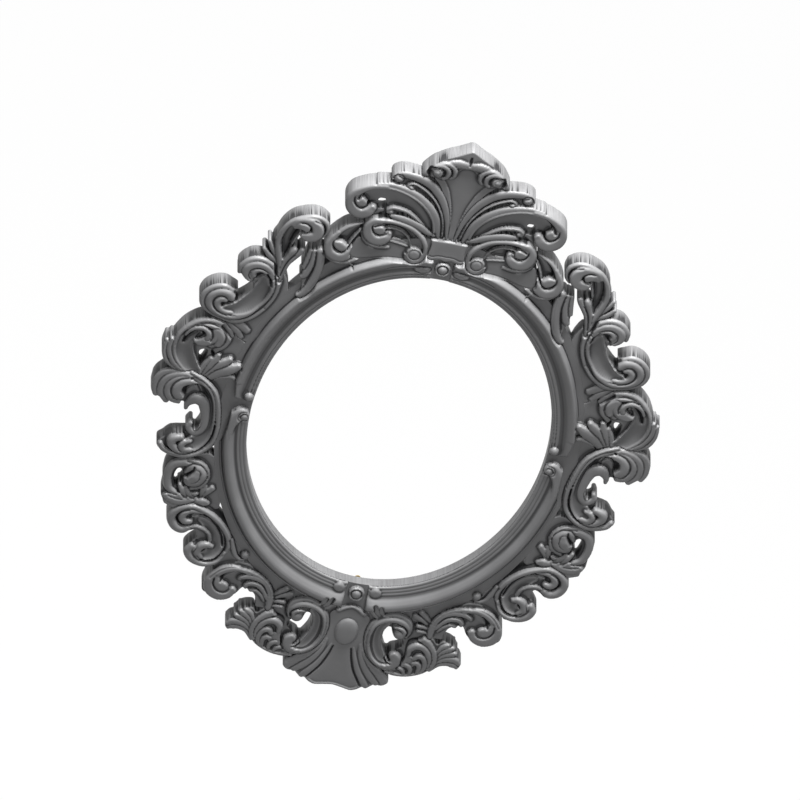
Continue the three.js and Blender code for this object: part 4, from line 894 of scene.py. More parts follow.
CARVINGS["foot_scroll"] = [
    field([(100, -312), (100, -290), (118, -268), (136, -264), (124, -300), (120, -313)], 20.6),
    field([(156, -252), (156, -238), (165, -227), (176, -218), (186, -226), (192, -246), (192, -264),
           (174, -256)], 20.6),
    field([(104, -310), (106, -294), (113, -277), (126, -263), (140, -254), (148, -249), (160, -248),
           (172, -251), (184, -257.6), (193, -267), (199, -279), (202, -290), (200, -302), (191, -307),
           (178, -311), (165, -307), (156, -299.6), (150, -289), (146, -287), (138, -290), (131, -295),
           (127, -305), (125, -314), (112, -314)], 23),
    pad([(109, -312, 4, 26), (109.6, -296, 5, 27), (116, -281, 5.6, 28), (128, -268.6, 5.6, 28.6),
         (143, -260.6, 4.8, 29), (158, -258, 4, 29.4)]),
    pad([(150, -260, 3.6, 29), (163, -257, 5, 29.8), (177, -261, 5.6, 30), (188, -270.6, 6, 30.4),
         (193.4, -283.6, 7.4, 30.6), (190, -296, 8.4, 30.8), (179, -302, 8.6, 30.8), (168, -299.6, 7.6, 30.4),
         (161.6, -292.6, 6, 29.4)]),
    pad([(186, -273, 2.6, 29.6), (184, -282, 6.6, 30.8), (178, -287.6, 8, 31), (174, -287, 6.4, 31)]),
    groove([(166, -290, 1.2), (168.6, -294.4, 1.4), (175, -296.6, 1.4), (183, -294, 1.4), (188.6, -286, 1.3),
            (189, -276.6, 1)], 3),
    groove([(146, -255.6, 0.8), (160, -253.6, 1), (174, -256.4, 1.1), (186, -264.6, 1.1),
            (195, -277, 1)], 2.2),
    groove([(150, -262.6, 1), (161, -261.6, 1.8), (171, -266, 2.6), (178, -273.6, 2.6), (180, -280, 1.4)], 6),
    leaf([(112, -290, 2.4, 27), (120, -276, 3.4, 28), (132, -267.6, 4, 29), (144, -266, 4, 29.4),
          (153, -269, 3.4, 29), (156, -272, 3, 28)]),
    leaf([(114, -297, 2.2, 27), (121, -285, 3.2, 28), (131, -277, 3.6, 29), (141, -276.6, 3.6, 29),
          (145.6, -281, 3.2, 28.6), (145.4, -284, 2.8, 28)]),
    leaf([(117, -301, 1.8, 26.6), (123, -292.6, 2.6, 27.6), (131, -286.6, 3, 28), (138, -288, 2.6, 27.4)]),
    groove([(115, -288, 0.8), (124, -275.6, 1.2), (136, -271.2, 1.3), (147, -273.6, 1.2), (152, -279, 1)], 3),
    roll([(104.6, -289, 2.4, 24), (99, -283, 3.6, 26), (91, -276.4, 4.2, 26.6)]),
    roll([(102, -294, 2.4, 24), (94, -288, 3.8, 26), (84, -283.4, 4.4, 26.6)]),
    roll([(103, -301, 2.2, 24), (97, -299, 3.2, 25.6), (90.6, -298.6, 3.4, 26)]),
    roll([(103.4, -308.4, 2.2, 24), (98, -307, 3, 25.6), (92, -306.6, 3.2, 26)]),
]

CARVINGS["bottom_scroll"] = [
    field([(49, -286), (38, -295), (29, -304), (26, -316), (26, -337), (30, -349), (37, -361), (48, -370),
           (59, -375), (72, -374), (80, -366), (84, -350), (84, -326), (98, -318), (104, -306), (100, -294),
           (86, -288), (75, -287), (62, -283)], 20),
    hole([(47, -330), (46.6, -319), (51, -311.6), (57, -310.6), (60.4, -318), (66, -324), (73.6, -325),
          (77, -331), (77, -338), (70, -342.6), (63, -346), (60, -350), (55, -349), (50, -345)]),
    leaf([(45, -294, 2.6, 26), (39.4, -286.6, 3.4, 27), (37, -277.6, 3.2, 26.4)]),
    leaf([(43, -297, 2.4, 26), (34, -288, 3.4, 27), (28.6, -276.4, 3, 26.4)]),
    leaf([(42, -299, 2.4, 26), (33, -294, 3.2, 26.8), (24.6, -287, 2.6, 26)]),
    roll([(79, -319, 2.4, 26), (81.6, -309, 3, 27.4), (80.6, -298, 3.2, 28), (74, -290.4, 3.4, 28.4),
          (63, -286.4, 3.4, 28.4), (50.6, -288.4, 3.2, 28), (39.6, -296.4, 3, 27.6), (31, -305.6, 3, 27.6),
          (27.6, -316, 2.8, 27.6), (27, -327, 2.8, 27.6), (28.4, -339, 2.8, 27.6), (32.4, -351, 2.8, 27.6),
          (39.4, -361.4, 2.8, 27.6), (48.6, -368.8, 2.8, 27.6), (59, -373, 2.8, 27.6),
          (70, -371.6, 2.8, 27.6), (78, -364.6, 2.6, 27)]),
    roll([(76.6, -314, 2.4, 28), (77.4, -303.6, 4, 30.6), (70.6, -295.6, 4.6, 31.4), (60, -292.8, 4.4, 31.4),
          (48, -295, 4, 31.4), (38.6, -302, 3.6, 31.4), (33, -313, 3.4, 31.4), (31.6, -326, 3.2, 31.4),
          (33, -341, 3.2, 31.4), (38, -353.6, 3.4, 31.4), (46, -362.6, 3.8, 31.6), (56, -367, 4.6, 31.8),
          (63, -366.4, 5, 31.6)]),
    pad([(60, -366.4, 4.6, 31.4), (67, -365, 6, 31), (72.4, -359.6, 7, 30.6), (72, -353, 7.6, 30.4),
         (69, -350.6, 7, 30)]),
    trough([(52, -302, 3.6, 27), (43.6, -309, 6.4, 27.6), (40.6, -322, 7.6, 28), (41.6, -336, 8.4, 28.6),
            (46.6, -349, 8.6, 30), (54, -357.6, 6.6, 31), (60, -361.6, 4, 30.6)]),
    groove([(58.6, -350, 1.4), (57.6, -356, 1.6), (61, -361, 1.4), (66, -362.6, 1)], 5),
    groove([(56, -298, 0.8), (46, -300.6, 1.1), (38.4, -308.6, 1.2), (35.4, -320, 1.2), (35.6, -334, 1.2),
            (38.6, -346, 1.2), (44.6, -356.6, 1.2), (53, -363, 1.2), (62, -363.6, 0.9)], 2.4),
    ball(69.6, -314.4, 9.4, 31.4),
    roll([(60, -304, 2.2, 30), (66, -303.4, 3, 31.6), (72, -305, 3.2, 32), (75.4, -309.6, 2.8, 31.6),
          (74, -313.4, 2, 31)]),
    groove([(57, -302, 0.8), (64, -299.6, 1.2), (72.6, -301, 1.4), (78.4, -308, 1.4), (78, -316, 1)], 4),
]

CARVINGS["foot_leaves"] = [
    field([(80, -326), (84, -308), (104, -306), (114, -314), (122, -322), (128, -316), (137, -317),
           (144, -321), (149, -328), (150.6, -337), (156, -342), (158.6, -348), (156.6, -354), (150, -355.6),
           (140, -354), (132, -356), (126, -361), (119, -367), (110, -374.6), (96, -381), (81, -383.6),
           (70, -383), (68, -376), (80, -366), (86, -356), (82, -348), (79, -338)], 23.6),
    field([(80, -346), (92, -346), (100, -352), (98, -362), (86, -366), (80, -362)], 27.4),
    leaf([(118, -350, 2.4, 25), (125, -334, 4, 27), (131, -324, 4.6, 27.6), (137, -319.6, 2.6, 27)]),
    leaf([(120, -354, 2.6, 25.4), (127, -339, 4, 27), (135, -329, 5, 28), (143.6, -323, 2.8, 27.4)]),
    leaf([(121, -357, 2.6, 25.4), (129, -343, 4, 27), (138, -335, 5, 28), (147.6, -331, 3.4, 27.6)]),
    leaf([(121, -361, 2.8, 25.4), (130, -347.6, 4, 27), (140, -341.4, 5, 28.2), (150, -341, 4.6, 28),
          (156, -346, 2.8, 27.2)]),
    leaf([(120, -365, 2.8, 25), (130, -353, 3.2, 26.4), (140, -348.6, 4, 27.4), (149, -349, 3.8, 27.4),
          (154, -353.4, 2.2, 26.4)]),
    leaf([(79, -333, 3, 27), (81, -322, 4.4, 28.2), (91, -315.6, 4.8, 29), (102, -317, 5, 29.2),
          (112, -325, 5, 29.2), (119, -336, 5, 29), (121.6, -349, 4.6, 28.4), (118.6, -362, 3.6, 27.4)]),
    roll([(87.4, -343, 4, 29), (87.6, -335.4, 5, 30), (94.6, -328.6, 5.4, 30.4), (104, -329, 5.4, 30.4),
          (111.6, -336, 5, 30), (116, -347, 4, 29), (116.4, -358, 2.6, 27.6)]),
    roll([(96.6, -348.6, 3.4, 29), (101, -343.6, 4.6, 29.8), (107.6, -345.6, 4.6, 29.8),
          (111.6, -353.6, 4.2, 29), (111.4, -363, 3, 28), (108, -371, 1.8, 26.6)]),
    roll([(97, -356.4, 3.4, 29), (102.4, -356, 4.2, 29.2), (105.6, -362, 3.8, 28.6),
          (104, -371.6, 2.2, 26.8)]),
    roll([(88, -361, 4, 29), (92.6, -363.6, 4.2, 29), (95.4, -369.6, 3.4, 28), (94.6, -377, 2, 26.4)]),
    roll([(78, -368.6, 2.6, 27.6), (84, -370, 3.6, 28), (87.6, -375.4, 2.6, 27), (86, -380, 1.6, 26)]),
    roll([(64, -378.4, 2.4, 26.6), (78, -379.6, 3, 27), (92, -378.4, 2.4, 26.6), (105, -373.6, 2, 26.2)]),
]

CARVINGS["drop_leaf"] = [
    field([(157, 262), (155, 232), (158, 212), (163, 197), (171, 188), (176, 185.6), (178, 190), (176, 200),
           (178, 214), (181, 228), (180, 240), (178, 256), (176, 263)], 24),
    leaf([(176.4, 262, 3.2, 25.6), (177.6, 247, 3.8, 26.4), (180, 235, 3.2, 26.4)]),
    leaf([(171, 262, 3.6, 26), (171.6, 241, 4.8, 27), (175.4, 225, 4.8, 27.4), (179, 219.6, 3.4, 27)]),
    leaf([(163, 262, 6.6, 26.6), (160.6, 240, 6.4, 27.4), (162.6, 219, 6, 27.8), (167.6, 202, 5.6, 28),
          (174, 191.6, 4.8, 27.6), (178, 189.6, 3.2, 27)]),
    groove([(168, 262, 0.7), (166.6, 242, 1.2), (169.6, 222, 1.4), (173, 208, 0.9)], 3),
    groove([(174, 262, 0.6), (174.6, 246, 0.9), (177.6, 232, 0.8)], 2),
    groove([(160, 262, 0.5), (157.6, 240, 0.8), (160, 216, 0.8), (166, 202, 0.5)], 1.4),
]

CARVINGS["shell"] = [
    field([(-8, -286), (0, -284), (9, -286.6), (18, -293), (27, -303), (25, -330), (28, -350), (40, -366),
           (60, -379), (70, -388), (70, -396), (67, -401), (61, -403), (55, -402), (49, -407), (44, -411),
           (39, -410), (33, -415), (26, -418), (20, -417.6), (10, -415.4), (0, -414), (-10, -415.4),
           (-30, -380), (-30, -300)], 24.6),
    leaf([(27, -338, 1.6, 25.4), (31, -356, 3.6, 26.8), (41, -370, 5.4, 27.8), (54, -382, 6.6, 28),
          (65, -394, 6, 27.4)]),
    leaf([(22.6, -343, 1.4, 25.4), (26.6, -360, 3.4, 26.8), (35, -376, 5, 27.6), (46, -390, 6, 27.6),
          (55, -399, 4.6, 26.8)]),
    leaf([(15, -350, 1.4, 25.2), (20, -366, 3.2, 26.4), (27.6, -384, 4.6, 27), (38, -400, 5.2, 27),
          (43, -407, 4, 26.4)]),
    groove([(12, -352, 1), (15.6, -368, 1.6), (22, -386, 2), (31, -401, 1.8), (36, -409, 1)], 4),
    roll([(-6, -411.8, 1.7, 26), (4, -412.4, 1.7, 26), (14, -414.4, 1.7, 26), (24, -416, 1.7, 26),
          (32, -412.6, 1.6, 26)]),
    roll([(-4, -285.6, 1.8, 26.4), (2, -286, 2.2, 26.8), (9, -289.4, 2, 26.6), (16, -295.4, 1.6, 26)]),
    ball(18.6, -294.6, 2.6, 27),
]

# Beads: level by distance from the opening. Torus: level by share of the rest of the width.
UPPER_BEADS = [(0, 22.3), (1.2, 23.8), (2.6, 23.6), (3.2, 22), (3.8, 23.6), (5.2, 24.4), (6.2, 24),
               (6.8, 22.2), (7.4, 24), (9, 24.6), (10, 24.4)]
UPPER_TORUS = [(0, 24), (0.1, 22.8), (0.22, 23), (0.36, 25.6), (0.52, 29.6), (0.66, 32.4), (0.76, 33.2),
               (0.84, 32.4), (0.91, 29.6), (0.96, 26), (1, 22)]
CARVINGS["moulding_upper"] = [
    moulding((1.4, 86.4), UPPER_BEADS, UPPER_TORUS, UPPER_MOULDING_HALF, (24.0, 12.0)),
    pad([(20, 266, 4.4, 28), (27, 264.4, 4.6, 28), (34, 263.6, 2.6, 27)]),
    groove([(24, 270.6, 0.8), (32, 269.6, 1.6), (44, 267.6, 2), (58, 263.6, 1.6), (72, 258, 0.8)], 3),
    ball(206, 15.6, 6.6, 29.8),
]

LOWER_BEADS = [(0, 22.3), (1.4, 24), (3.4, 24), (4.3, 23.3), (5.2, 24.2), (7.8, 24.8), (8.8, 24), (9.8, 24.8),
               (12.3, 25.4), (13.3, 24.7)]
LOWER_TORUS = [(0, 24.7), (0.1, 25.8), (0.24, 29), (0.4, 31.8), (0.52, 32.8), (0.64, 32.4), (0.75, 30.2),
               (0.82, 27), (0.86, 23.6), (0.88, 21.4), (0.9, 21.4), (0.92, 23.8), (0.97, 23.8), (1, 22)]
CARVINGS["moulding_lower"] = [
    moulding((-86.0, -2.0), LOWER_BEADS, LOWER_TORUS, LOWER_MOULDING_HALF, (12.0, 16.0)),
    pad([(218, -52, 1.4, 32.6), (219.6, -36, 4.6, 32.6), (218, -22, 8.4, 32.4), (210.6, -12, 9.4, 31.8),
         (205, -13, 6, 31)]),
    hole([(244, 20), (234, -8), (230.6, -28), (230, -50), (232, -66), (238, -79), (246, -86), (262, -60),
          (262, 10)]),
    ball(205.6, -15.4, 6, 31.4),
    groove([(203, -7.4, 0.8), (209.6, -7.6, 1.2), (213.4, -12.4, 1.5), (212.6, -19, 1.6), (207, -23.4, 1.6),
            (200.6, -23.6, 1.2)], 2.4),
    pad([(24.6, -258.6, 7.6, 27.4)]),
]

boards = {}


def draw_boards(cell):
    """Lays out every carving once, so that neighbours can be fitted to each other."""
    if boards:
        return
    for name, elements in CARVINGS.items():
        board = carve_board(elements, cell, name in WHOLE)
        cut_clear(board, boards.values())
        if name in WHOLE:
            unfolded(board)
        boards[name] = board


def carve_pieces(*names):
    """Makes the named carvings, each with its mirror image unless it crosses the middle."""
    sizes = bpy.context.scene.frame_sizes
    draw_boards(sizes.carving_cell / MM)
    material = bpy.data.materials["graphite_paint"]
    for name in names:
        board = boards[name]
        finish_board(board, sizes.softness, sizes.rounding / MM)
        on_ring = name.startswith(("rosette", "moulding"))
        mesh = relief_mesh(name, board, RING_FACE + JOINT_GAP if on_ring else 0.0)
        if not on_ring:
            clearance = oval_slab([half + JOINT_GAP for half in RING_HALF],
                                  CLEARANCE_BACK, RING_FACE + JOINT_GAP)
            mesh = cut_mesh(mesh, clearance)
        add_carving(name, mesh, material, name in WHOLE)


def add_carving(name, mesh, material, whole):
    shaded(mesh)
    if whole:
        add_piece(name + "_carved", mesh, material, "frame", [name])
        return
    other = mirrored_mesh(mesh, name + "_left")
    add_piece(name + "_right_carved", mesh, material, "frame", [name + "_right"])
    add_piece(name + "_left_carved", other, material, "frame", [name + "_left"])


def build_cabochon():
    """The oval cabochon, with its thin rim, on the shell's field."""
    sizes = bpy.context.scene.frame_sizes
    board = carve_board([oval_dome(0, CABOCHON_LEVEL, CABOCHON_RIM_HALF, 25.6, 26.2),
                         oval_dome(0, CABOCHON_LEVEL, CABOCHON_HALF, 25.8, 30.2)],
                        sizes.carving_cell / MM, True)
    unfolded(board)
    finish_board(board, sizes.softness, CABOCHON_ROUNDING)
    mesh = relief_mesh("cabochon", board, CABOCHON_FOOT)
    add_carving("cabochon", mesh, bpy.data.materials["graphite_paint"], True)


# The ring's felloes, bent from straight bars by a node tree

def wire(tree, target, inputs):
    """Sets a node's inputs, by name or number, or links sockets to them."""
    for key, value in inputs.items():
        if isinstance(value, bpy.types.NodeSocket):
            tree.links.new(value, target.inputs[key])
        else:
            target.inputs[key].default_value = value


def node(tree, kind, inputs=(), **settings):
    made = tree.nodes.new(kind)
    for name, value in settings.items():
        setattr(made, name, value)
    wire(tree, made, dict(inputs))
    return made


def new_tree(name, kind, inputs, outputs):
    """A node tree with named sockets, and the sockets that its inputs arrive at."""
    tree = bpy.data.node_groups.new(name, kind)
    for in_out, sockets in (("INPUT", inputs), ("OUTPUT", outputs)):
        for label, value in sockets:
            tree.interface.new_socket(label, in_out=in_out, socket_type="NodeSocket" + value)
    return tree, tree.nodes.new("NodeGroupInput").outputs


def maths(tree, operation, *values):
    return node(tree, "ShaderNodeMath", enumerate(values), operation=operation).outputs[0]


BAR_SIZES = ("Inner Half Width", "Inner Half Height", "Outer Half Width", "Outer Half Height", "From", "To",
             "Low", "High")


def bent_bar_tree():
    """A bar bent to the opening's oval, between two angles and two levels."""
    tree, given = new_tree("bent_bar", "GeometryNodeTree", [(size, "Float") for size in BAR_SIZES],
                           [("Geometry", "Geometry")])

    def part_way(low, high, share):
        low, high = given[low], given[high]
        return maths(tree, "ADD", low, maths(tree, "MULTIPLY", maths(tree, "SUBTRACT", high, low), share))

    degrees = maths(tree, "ROUND", maths(tree, "SUBTRACT", given["To"], given["From"]))
    bar = node(tree, "GeometryNodeMeshCube", {
        "Size": (1, 1, 1), "Vertices X": maths(tree, "ADD", degrees, 1.0)})
    place = node(tree, "GeometryNodeInputPosition").outputs[0]
    parts = node(tree, "ShaderNodeSeparateXYZ", {0: place}).outputs
    along, aside, upright = (maths(tree, "ADD", part, 0.5) for part in parts)
    angle = maths(tree, "RADIANS", part_way("From", "To", along))
    width = part_way("Inner Half Width", "Outer Half Width", aside)
    height = part_way("Inner Half Height", "Outer Half Height", aside)
    bent = node(tree, "ShaderNodeCombineXYZ", {
        "X": maths(tree, "MULTIPLY", width, maths(tree, "COSINE", angle)),
        "Y": maths(tree, "MULTIPLY", part_way("Low", "High", upright), -1.0),
        "Z": maths(tree, "MULTIPLY", height, maths(tree, "SINE", angle))})
    moved = node(tree, "GeometryNodeSetPosition",
                 {"Geometry": bar.outputs["Mesh"], "Position": bent.outputs[0]})
    node(tree, "NodeGroupOutput", {0: moved.outputs[0]})
    return tree


FELLOE_SIZES = ("Sight Half Width", "Sight Half Height", "Ring Half Width", "Ring Half Height",
                "Rebate Lip", "Rebate Depth", "Lap Level", "Ring Thickness", "Back From", "Back To",
                "Front From", "Front To", "Hole Radius", "Hole Depth")


def felloe_tree(material):
    """A felloe of the ring: its back and front layers, and a hole at each screw seat it is given."""
    bar = bent_bar_tree()
    tree, given = new_tree("felloe", "GeometryNodeTree",
                           [("Geometry", "Geometry")] + [(size, "Float") for size in FELLOE_SIZES],
                           [("Geometry", "Geometry")])
    sight = given["Sight Half Width"], given["Sight Half Height"]
    rebate = [maths(tree, "ADD", half, given["Rebate Lip"]) for half in sight]
    body = node(tree, "GeometryNodeMeshBoolean", operation="UNION", solver="MANIFOLD")
    layers = [(rebate, "Back", 0.0, given["Rebate Depth"]),
              (sight, "Back", given["Rebate Depth"], given["Lap Level"]),
              (sight, "Front", given["Lap Level"], given["Ring Thickness"])]
    for (width, height), side, low, high in layers:
        layer = node(tree, "GeometryNodeGroup", {}, node_tree=bar)
        wire(tree, layer, dict(zip(BAR_SIZES, (
            width, height, given["Ring Half Width"], given["Ring Half Height"],
            given[side + " From"], given[side + " To"], low, high))))
        tree.links.new(layer.outputs[0], body.inputs["Mesh 2"])
    drill = node(tree, "GeometryNodeMeshCylinder", {
        "Vertices": HOLE_SIDES, "Radius": given["Hole Radius"], "Depth": given["Hole Depth"]})
    seats = node(tree, "GeometryNodeInstanceOnPoints", {
        "Rotation": (math.pi / 2, 0, 0), "Points": given["Geometry"], "Instance": drill.outputs["Mesh"]})
    holes = node(tree, "GeometryNodeRealizeInstances", {0: seats.outputs[0]})
    drilled = node(tree, "GeometryNodeMeshBoolean", operation="DIFFERENCE", solver="MANIFOLD")
    wire(tree, drilled, {"Mesh 1": body.outputs["Mesh"], "Mesh 2": holes.outputs[0]})
    real = node(tree, "GeometryNodeRealizeInstances", {0: drilled.outputs["Mesh"]})
    painted = node(tree, "GeometryNodeSetMaterial", {"Geometry": real.outputs[0], "Material": material})
    node(tree, "NodeGroupOutput", {0: painted.outputs[0]})
    return tree


def grown(name, points, tree, values):
    """The plain mesh that a node tree makes from loose points and named sizes."""
    base = bpy.data.meshes.new(name)
    base.from_pydata(points, [], [])
    work = bpy.data.objects.new(name, base)
    bpy.context.scene.collection.objects.link(work)
    modifier = work.modifiers.new("nodes", "NODES")
    modifier.node_group = tree
    keys = {item.name: item.identifier for item in tree.interface.items_tree if item.in_out == "INPUT"}
    for key, value in values.items():
        modifier[keys[key]] = value
    work.update_tag()
    graph = bpy.context.evaluated_depsgraph_get()
    mesh = bpy.data.meshes.new_from_object(work.evaluated_get(graph))
    mesh.name = name
    bpy.data.objects.remove(work)
    if not mesh.polygons:
        raise RuntimeError(name + " came out empty")
    return mesh


def screw_seats():
    """Where the six screws enter the ring's back, from the screws' own boxes."""
    seats = []
    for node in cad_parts:
        if "screw" in node:
            low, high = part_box(node)
            seats.append((0.5 * (low[0] + high[0]), 0.0, 0.5 * (low[2] + high[2])))
    return seats


def build_ring():
    material = bpy.data.materials["graphite_paint"]
    tree = felloe_tree(material)
    lap, joint = LAP_HALF_ANGLE, JOINT_ANGLE
    gap_angle = math.degrees(JOINT_GAP / JOINT_RADIUS)
    spans = {"ring_top": (joint, 180 - joint), "ring_bottom": (180 + joint, 360 - joint),
             "ring_right": (-joint, joint), "ring_left": (180 - joint, 180 + joint)}
    for name, (start, end) in spans.items():
        front = FRONT_LAPS[name]
        ease = gap_angle if front < 0 else 0.0
        low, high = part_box(name)
        seats = [seat for seat in screw_seats() if low[0] < seat[0] < high[0] and low[2] < seat[2] < high[2]]
        level = LAP_LEVEL + JOINT_GAP if front > 0 else LAP_LEVEL
        sizes = (*SIGHT_HALF, *RING_HALF, REBATE_LIP, REBATE_DEPTH, level, RING_FACE)
        values = dict(zip(FELLOE_SIZES, [size * MM for size in sizes]))
        values.update({"Back From": start + front * lap + ease, "Back To": end - front * lap - ease,
                       "Front From": start - front * lap + ease, "Front To": end + front * lap - ease,
                       "Hole Radius": HOLE_RADIUS * MM, "Hole Depth": HOLE_DEPTH * MM})
        mesh = grown(name, seats, tree, values)
        shaded(mesh)
        add_piece(name + "_planed", mesh, material, "frame", [name])


# Materials

# Noises: scale, detail and stretch
CLOUD = (22, 3)
GRAIN = (380, 2)
STREAK = (430, 2, (1, 0.02, 1))
SPOTS = (160, 4)
BRUSHING = (1500, 2)

# Ranges: from low and high, to low and high
# How deep in a hollow the painted shade reaches its full strength.
HOLLOW_DEPTH = (-0.05, 0.5)
WALL_FACING = (0.35, 0.1)
# Upward faces get painted top light; downward faces get painted shade.
UPWARD_FACING = (0.05, 0.9)
DOWNWARD_FACING = (-0.1, -0.8, 0.0, 0.75)
# How far the wall streaks pull the painted top light back to the paint's own colour.
STREAK_SHARE = (0.35, 0.65, 0.0, 0.45)
PAINT_TONE = (0.3, 0.7, 0.86, 1.08)
PAINT_ROUGHNESS = (0.3, 0.7, 0.4, 0.5)
METAL_TARNISH = (0.35, 0.7)
METAL_ROUGHNESS = (0.0, 1.0, 0.26, 0.48)

HOLLOW_ROUGHNESS = 0.15
GRAIN_HEIGHT = 0.25
PAINT_BUMP = {"Distance": 0.0004, "Strength": 0.5}
METAL_BUMP = {"Distance": 0.00005, "Strength": 0.4}
BRASS_TARNISH = (0.20, 0.14, 0.07)
STEEL_TARNISH = (0.30, 0.30, 0.29)


def ranged(tree, value, low, high, to_low=0.0, to_high=1.0):
    return node(tree, "ShaderNodeMapRange", {
        "Value": value, "From Min": low, "From Max": high, "To Min": to_low, "To Max": to_high,
    }).outputs["Result"]


def mixed(tree, share, first, second, way="MIX"):
    return node(tree, "ShaderNodeMix", {"Factor": share, "A": first, "B": second},
                data_type="RGBA", blend_type=way).outputs["Result"]


def noise(tree, scale, detail, stretch=(1, 1, 1)):
    place = node(tree, "ShaderNodeTexCoord").outputs["Object"]
    stretched = node(tree, "ShaderNodeMapping", {"Vector": place, "Scale": stretch})
    return node(tree, "ShaderNodeTexNoise", {
        "Vector": stretched.outputs["Vector"], "Scale": scale, "Detail": detail}).outputs["Fac"]


def new_material(name):
    material = bpy.data.materials.new(name)
    material.use_nodes = True
    return material.node_tree, material.node_tree.nodes["Principled BSDF"], material


def paint_group():
    """Painted shade in hollows and on downward faces, painted top light on upward faces, streaked along the
    walls.
    """
    tree, given = new_tree("paint_with_painted_light", "ShaderNodeTree",
                           [("Raised", "Color"), ("Hollow", "Color"), ("Wall", "Color")],
                           [("Colour", "Color"), ("Roughness", "Float"), ("Height", "Float")])
    # The hollow depth sets the painted shade in the hollows, and adds roughness there.
    hollow = node(tree, "ShaderNodeAttribute", attribute_name="hollow").outputs["Fac"]
    depth = ranged(tree, hollow, *HOLLOW_DEPTH)
    normal = node(tree, "ShaderNodeNewGeometry").outputs["Normal"]
    facing = node(tree, "ShaderNodeSeparateXYZ", {0: normal}).outputs
    wall = ranged(tree, maths(tree, "ABSOLUTE", facing["Y"]), *WALL_FACING)
    # Upward faces get painted top light; downward faces get painted shade.
    upward = ranged(tree, facing["Z"], *UPWARD_FACING)
    downward = ranged(tree, facing["Z"], *DOWNWARD_FACING)
    cloud, grain, streak = noise(tree, *CLOUD), noise(tree, *GRAIN), noise(tree, *STREAK)
    # On the walls, streaks pull the painted top light back towards the paint's own colour.
    streaks = maths(tree, "MULTIPLY", wall, ranged(tree, streak, *STREAK_SHARE))
    streaked_top_light = mixed(tree, streaks, given["Wall"], given["Raised"])
    # Painted shade: darker in the hollows and on downward faces.
    base = mixed(tree, depth, given["Raised"], given["Hollow"])
    base = mixed(tree, downward, base, given["Hollow"])
    # Painted top light: lighter on upward faces, less so in the hollows.
    base = mixed(tree, maths(tree, "MULTIPLY", upward, maths(tree, "SUBTRACT", 1.0, depth)), base, streaked_top_light)
    shade = ranged(tree, cloud, *PAINT_TONE)
    tone = node(tree, "ShaderNodeCombineColor", enumerate((shade, shade, shade))).outputs[0]
    node(tree, "NodeGroupOutput", {
        "Colour": mixed(tree, 1.0, base, tone, "MULTIPLY"),
        "Roughness": maths(tree, "ADD", ranged(tree, cloud, *PAINT_ROUGHNESS),
                           maths(tree, "MULTIPLY", depth, HOLLOW_ROUGHNESS)),
        "Height": maths(tree, "ADD", maths(tree, "MULTIPLY", grain, GRAIN_HEIGHT),
                        maths(tree, "MULTIPLY", wall, streak))})
    return tree


def tarnish_group():
    """Dull spots on a metal, and its fine brushing."""
    tree, given = new_tree("tarnished_metal", "ShaderNodeTree", [("Bright", "Color"), ("Dull", "Color")],
                           [("Colour", "Color"), ("Roughness", "Float"), ("Height", "Float")])
    spots = noise(tree, *SPOTS)
    node(tree, "NodeGroupOutput", {
        "Colour": mixed(tree, ranged(tree, spots, *METAL_TARNISH), given["Bright"], given["Dull"]),
        "Roughness": ranged(tree, spots, *METAL_ROUGHNESS),
        "Height": noise(tree, *BRUSHING)})
    return tree


def finish_material(name, group, colours, bump_size, metallic):
    """A material that takes its colour, roughness and bump from a shared group."""
    tree, shader, _ = new_material(name)
    surface = node(tree, "ShaderNodeGroup", {key: (*colour, 1) for key, colour in colours.items()},
                   node_tree=group).outputs
    bump = node(tree, "ShaderNodeBump", {**bump_size, "Height": surface["Height"]})
    wire(tree, shader, {"Base Color": surface["Colour"], "Roughness": surface["Roughness"],
                        "Normal": bump.outputs["Normal"], "Metallic": metallic})


class FrameSizes(bpy.types.PropertyGroup):
    carving_cell: bpy.props.FloatProperty(
        name="Carving cell", description="Grid spacing of the carved surfaces",
        default=0.0009, min=0.0004, unit="LENGTH", precision=5)
    softness: bpy.props.IntProperty(
        name="Softness", description="How far the carving's edges are rubbed down", default=1, min=0)
    rounding: bpy.props.FloatProperty(
        name="Edge rounding", description="Radius of the rounded outer edges",
        default=0.0016, min=0.0002, unit="LENGTH", precision=5)
    floor_level: bpy.props.FloatProperty(
        name="Floor level", description="Height of the studio floor, below the hanging frame",
        default=-1.2, unit="LENGTH")


class FrameColours(bpy.types.PropertyGroup):
    paint_raised: bpy.props.FloatVectorProperty(
        name="Paint, raised", description="Paint colour on the crowns of the carving",
        default=(0.08, 0.08, 0.082), subtype="COLOR", min=0, max=1)
    # Painted shade: the colour that hollows and downward faces are darkened to.
    painted_shade: bpy.props.FloatVectorProperty(
        name="Paint, hollow", description="Paint colour in the hollows of the carving",
        default=(0.01, 0.01, 0.011), subtype="COLOR", min=0, max=1)
    # Painted top light: the lighter colour laid on upward faces, in place of light from above.
    painted_top_light: bpy.props.FloatVectorProperty(
        name="Paint, walls", description="Paint colour on the sawn walls",
        default=(0.2, 0.2, 0.203), subtype="COLOR", min=0, max=1)
    brass: bpy.props.FloatVectorProperty(
        name="Brass", description="Colour of the turn buttons and their screws",
        default=(0.36, 0.27, 0.13), subtype="COLOR", min=0, max=1)
    steel: bpy.props.FloatVectorProperty(
        name="Steel", description="Colour of the hangers",
        default=(0.50, 0.50, 0.48), subtype="COLOR", min=0, max=1)


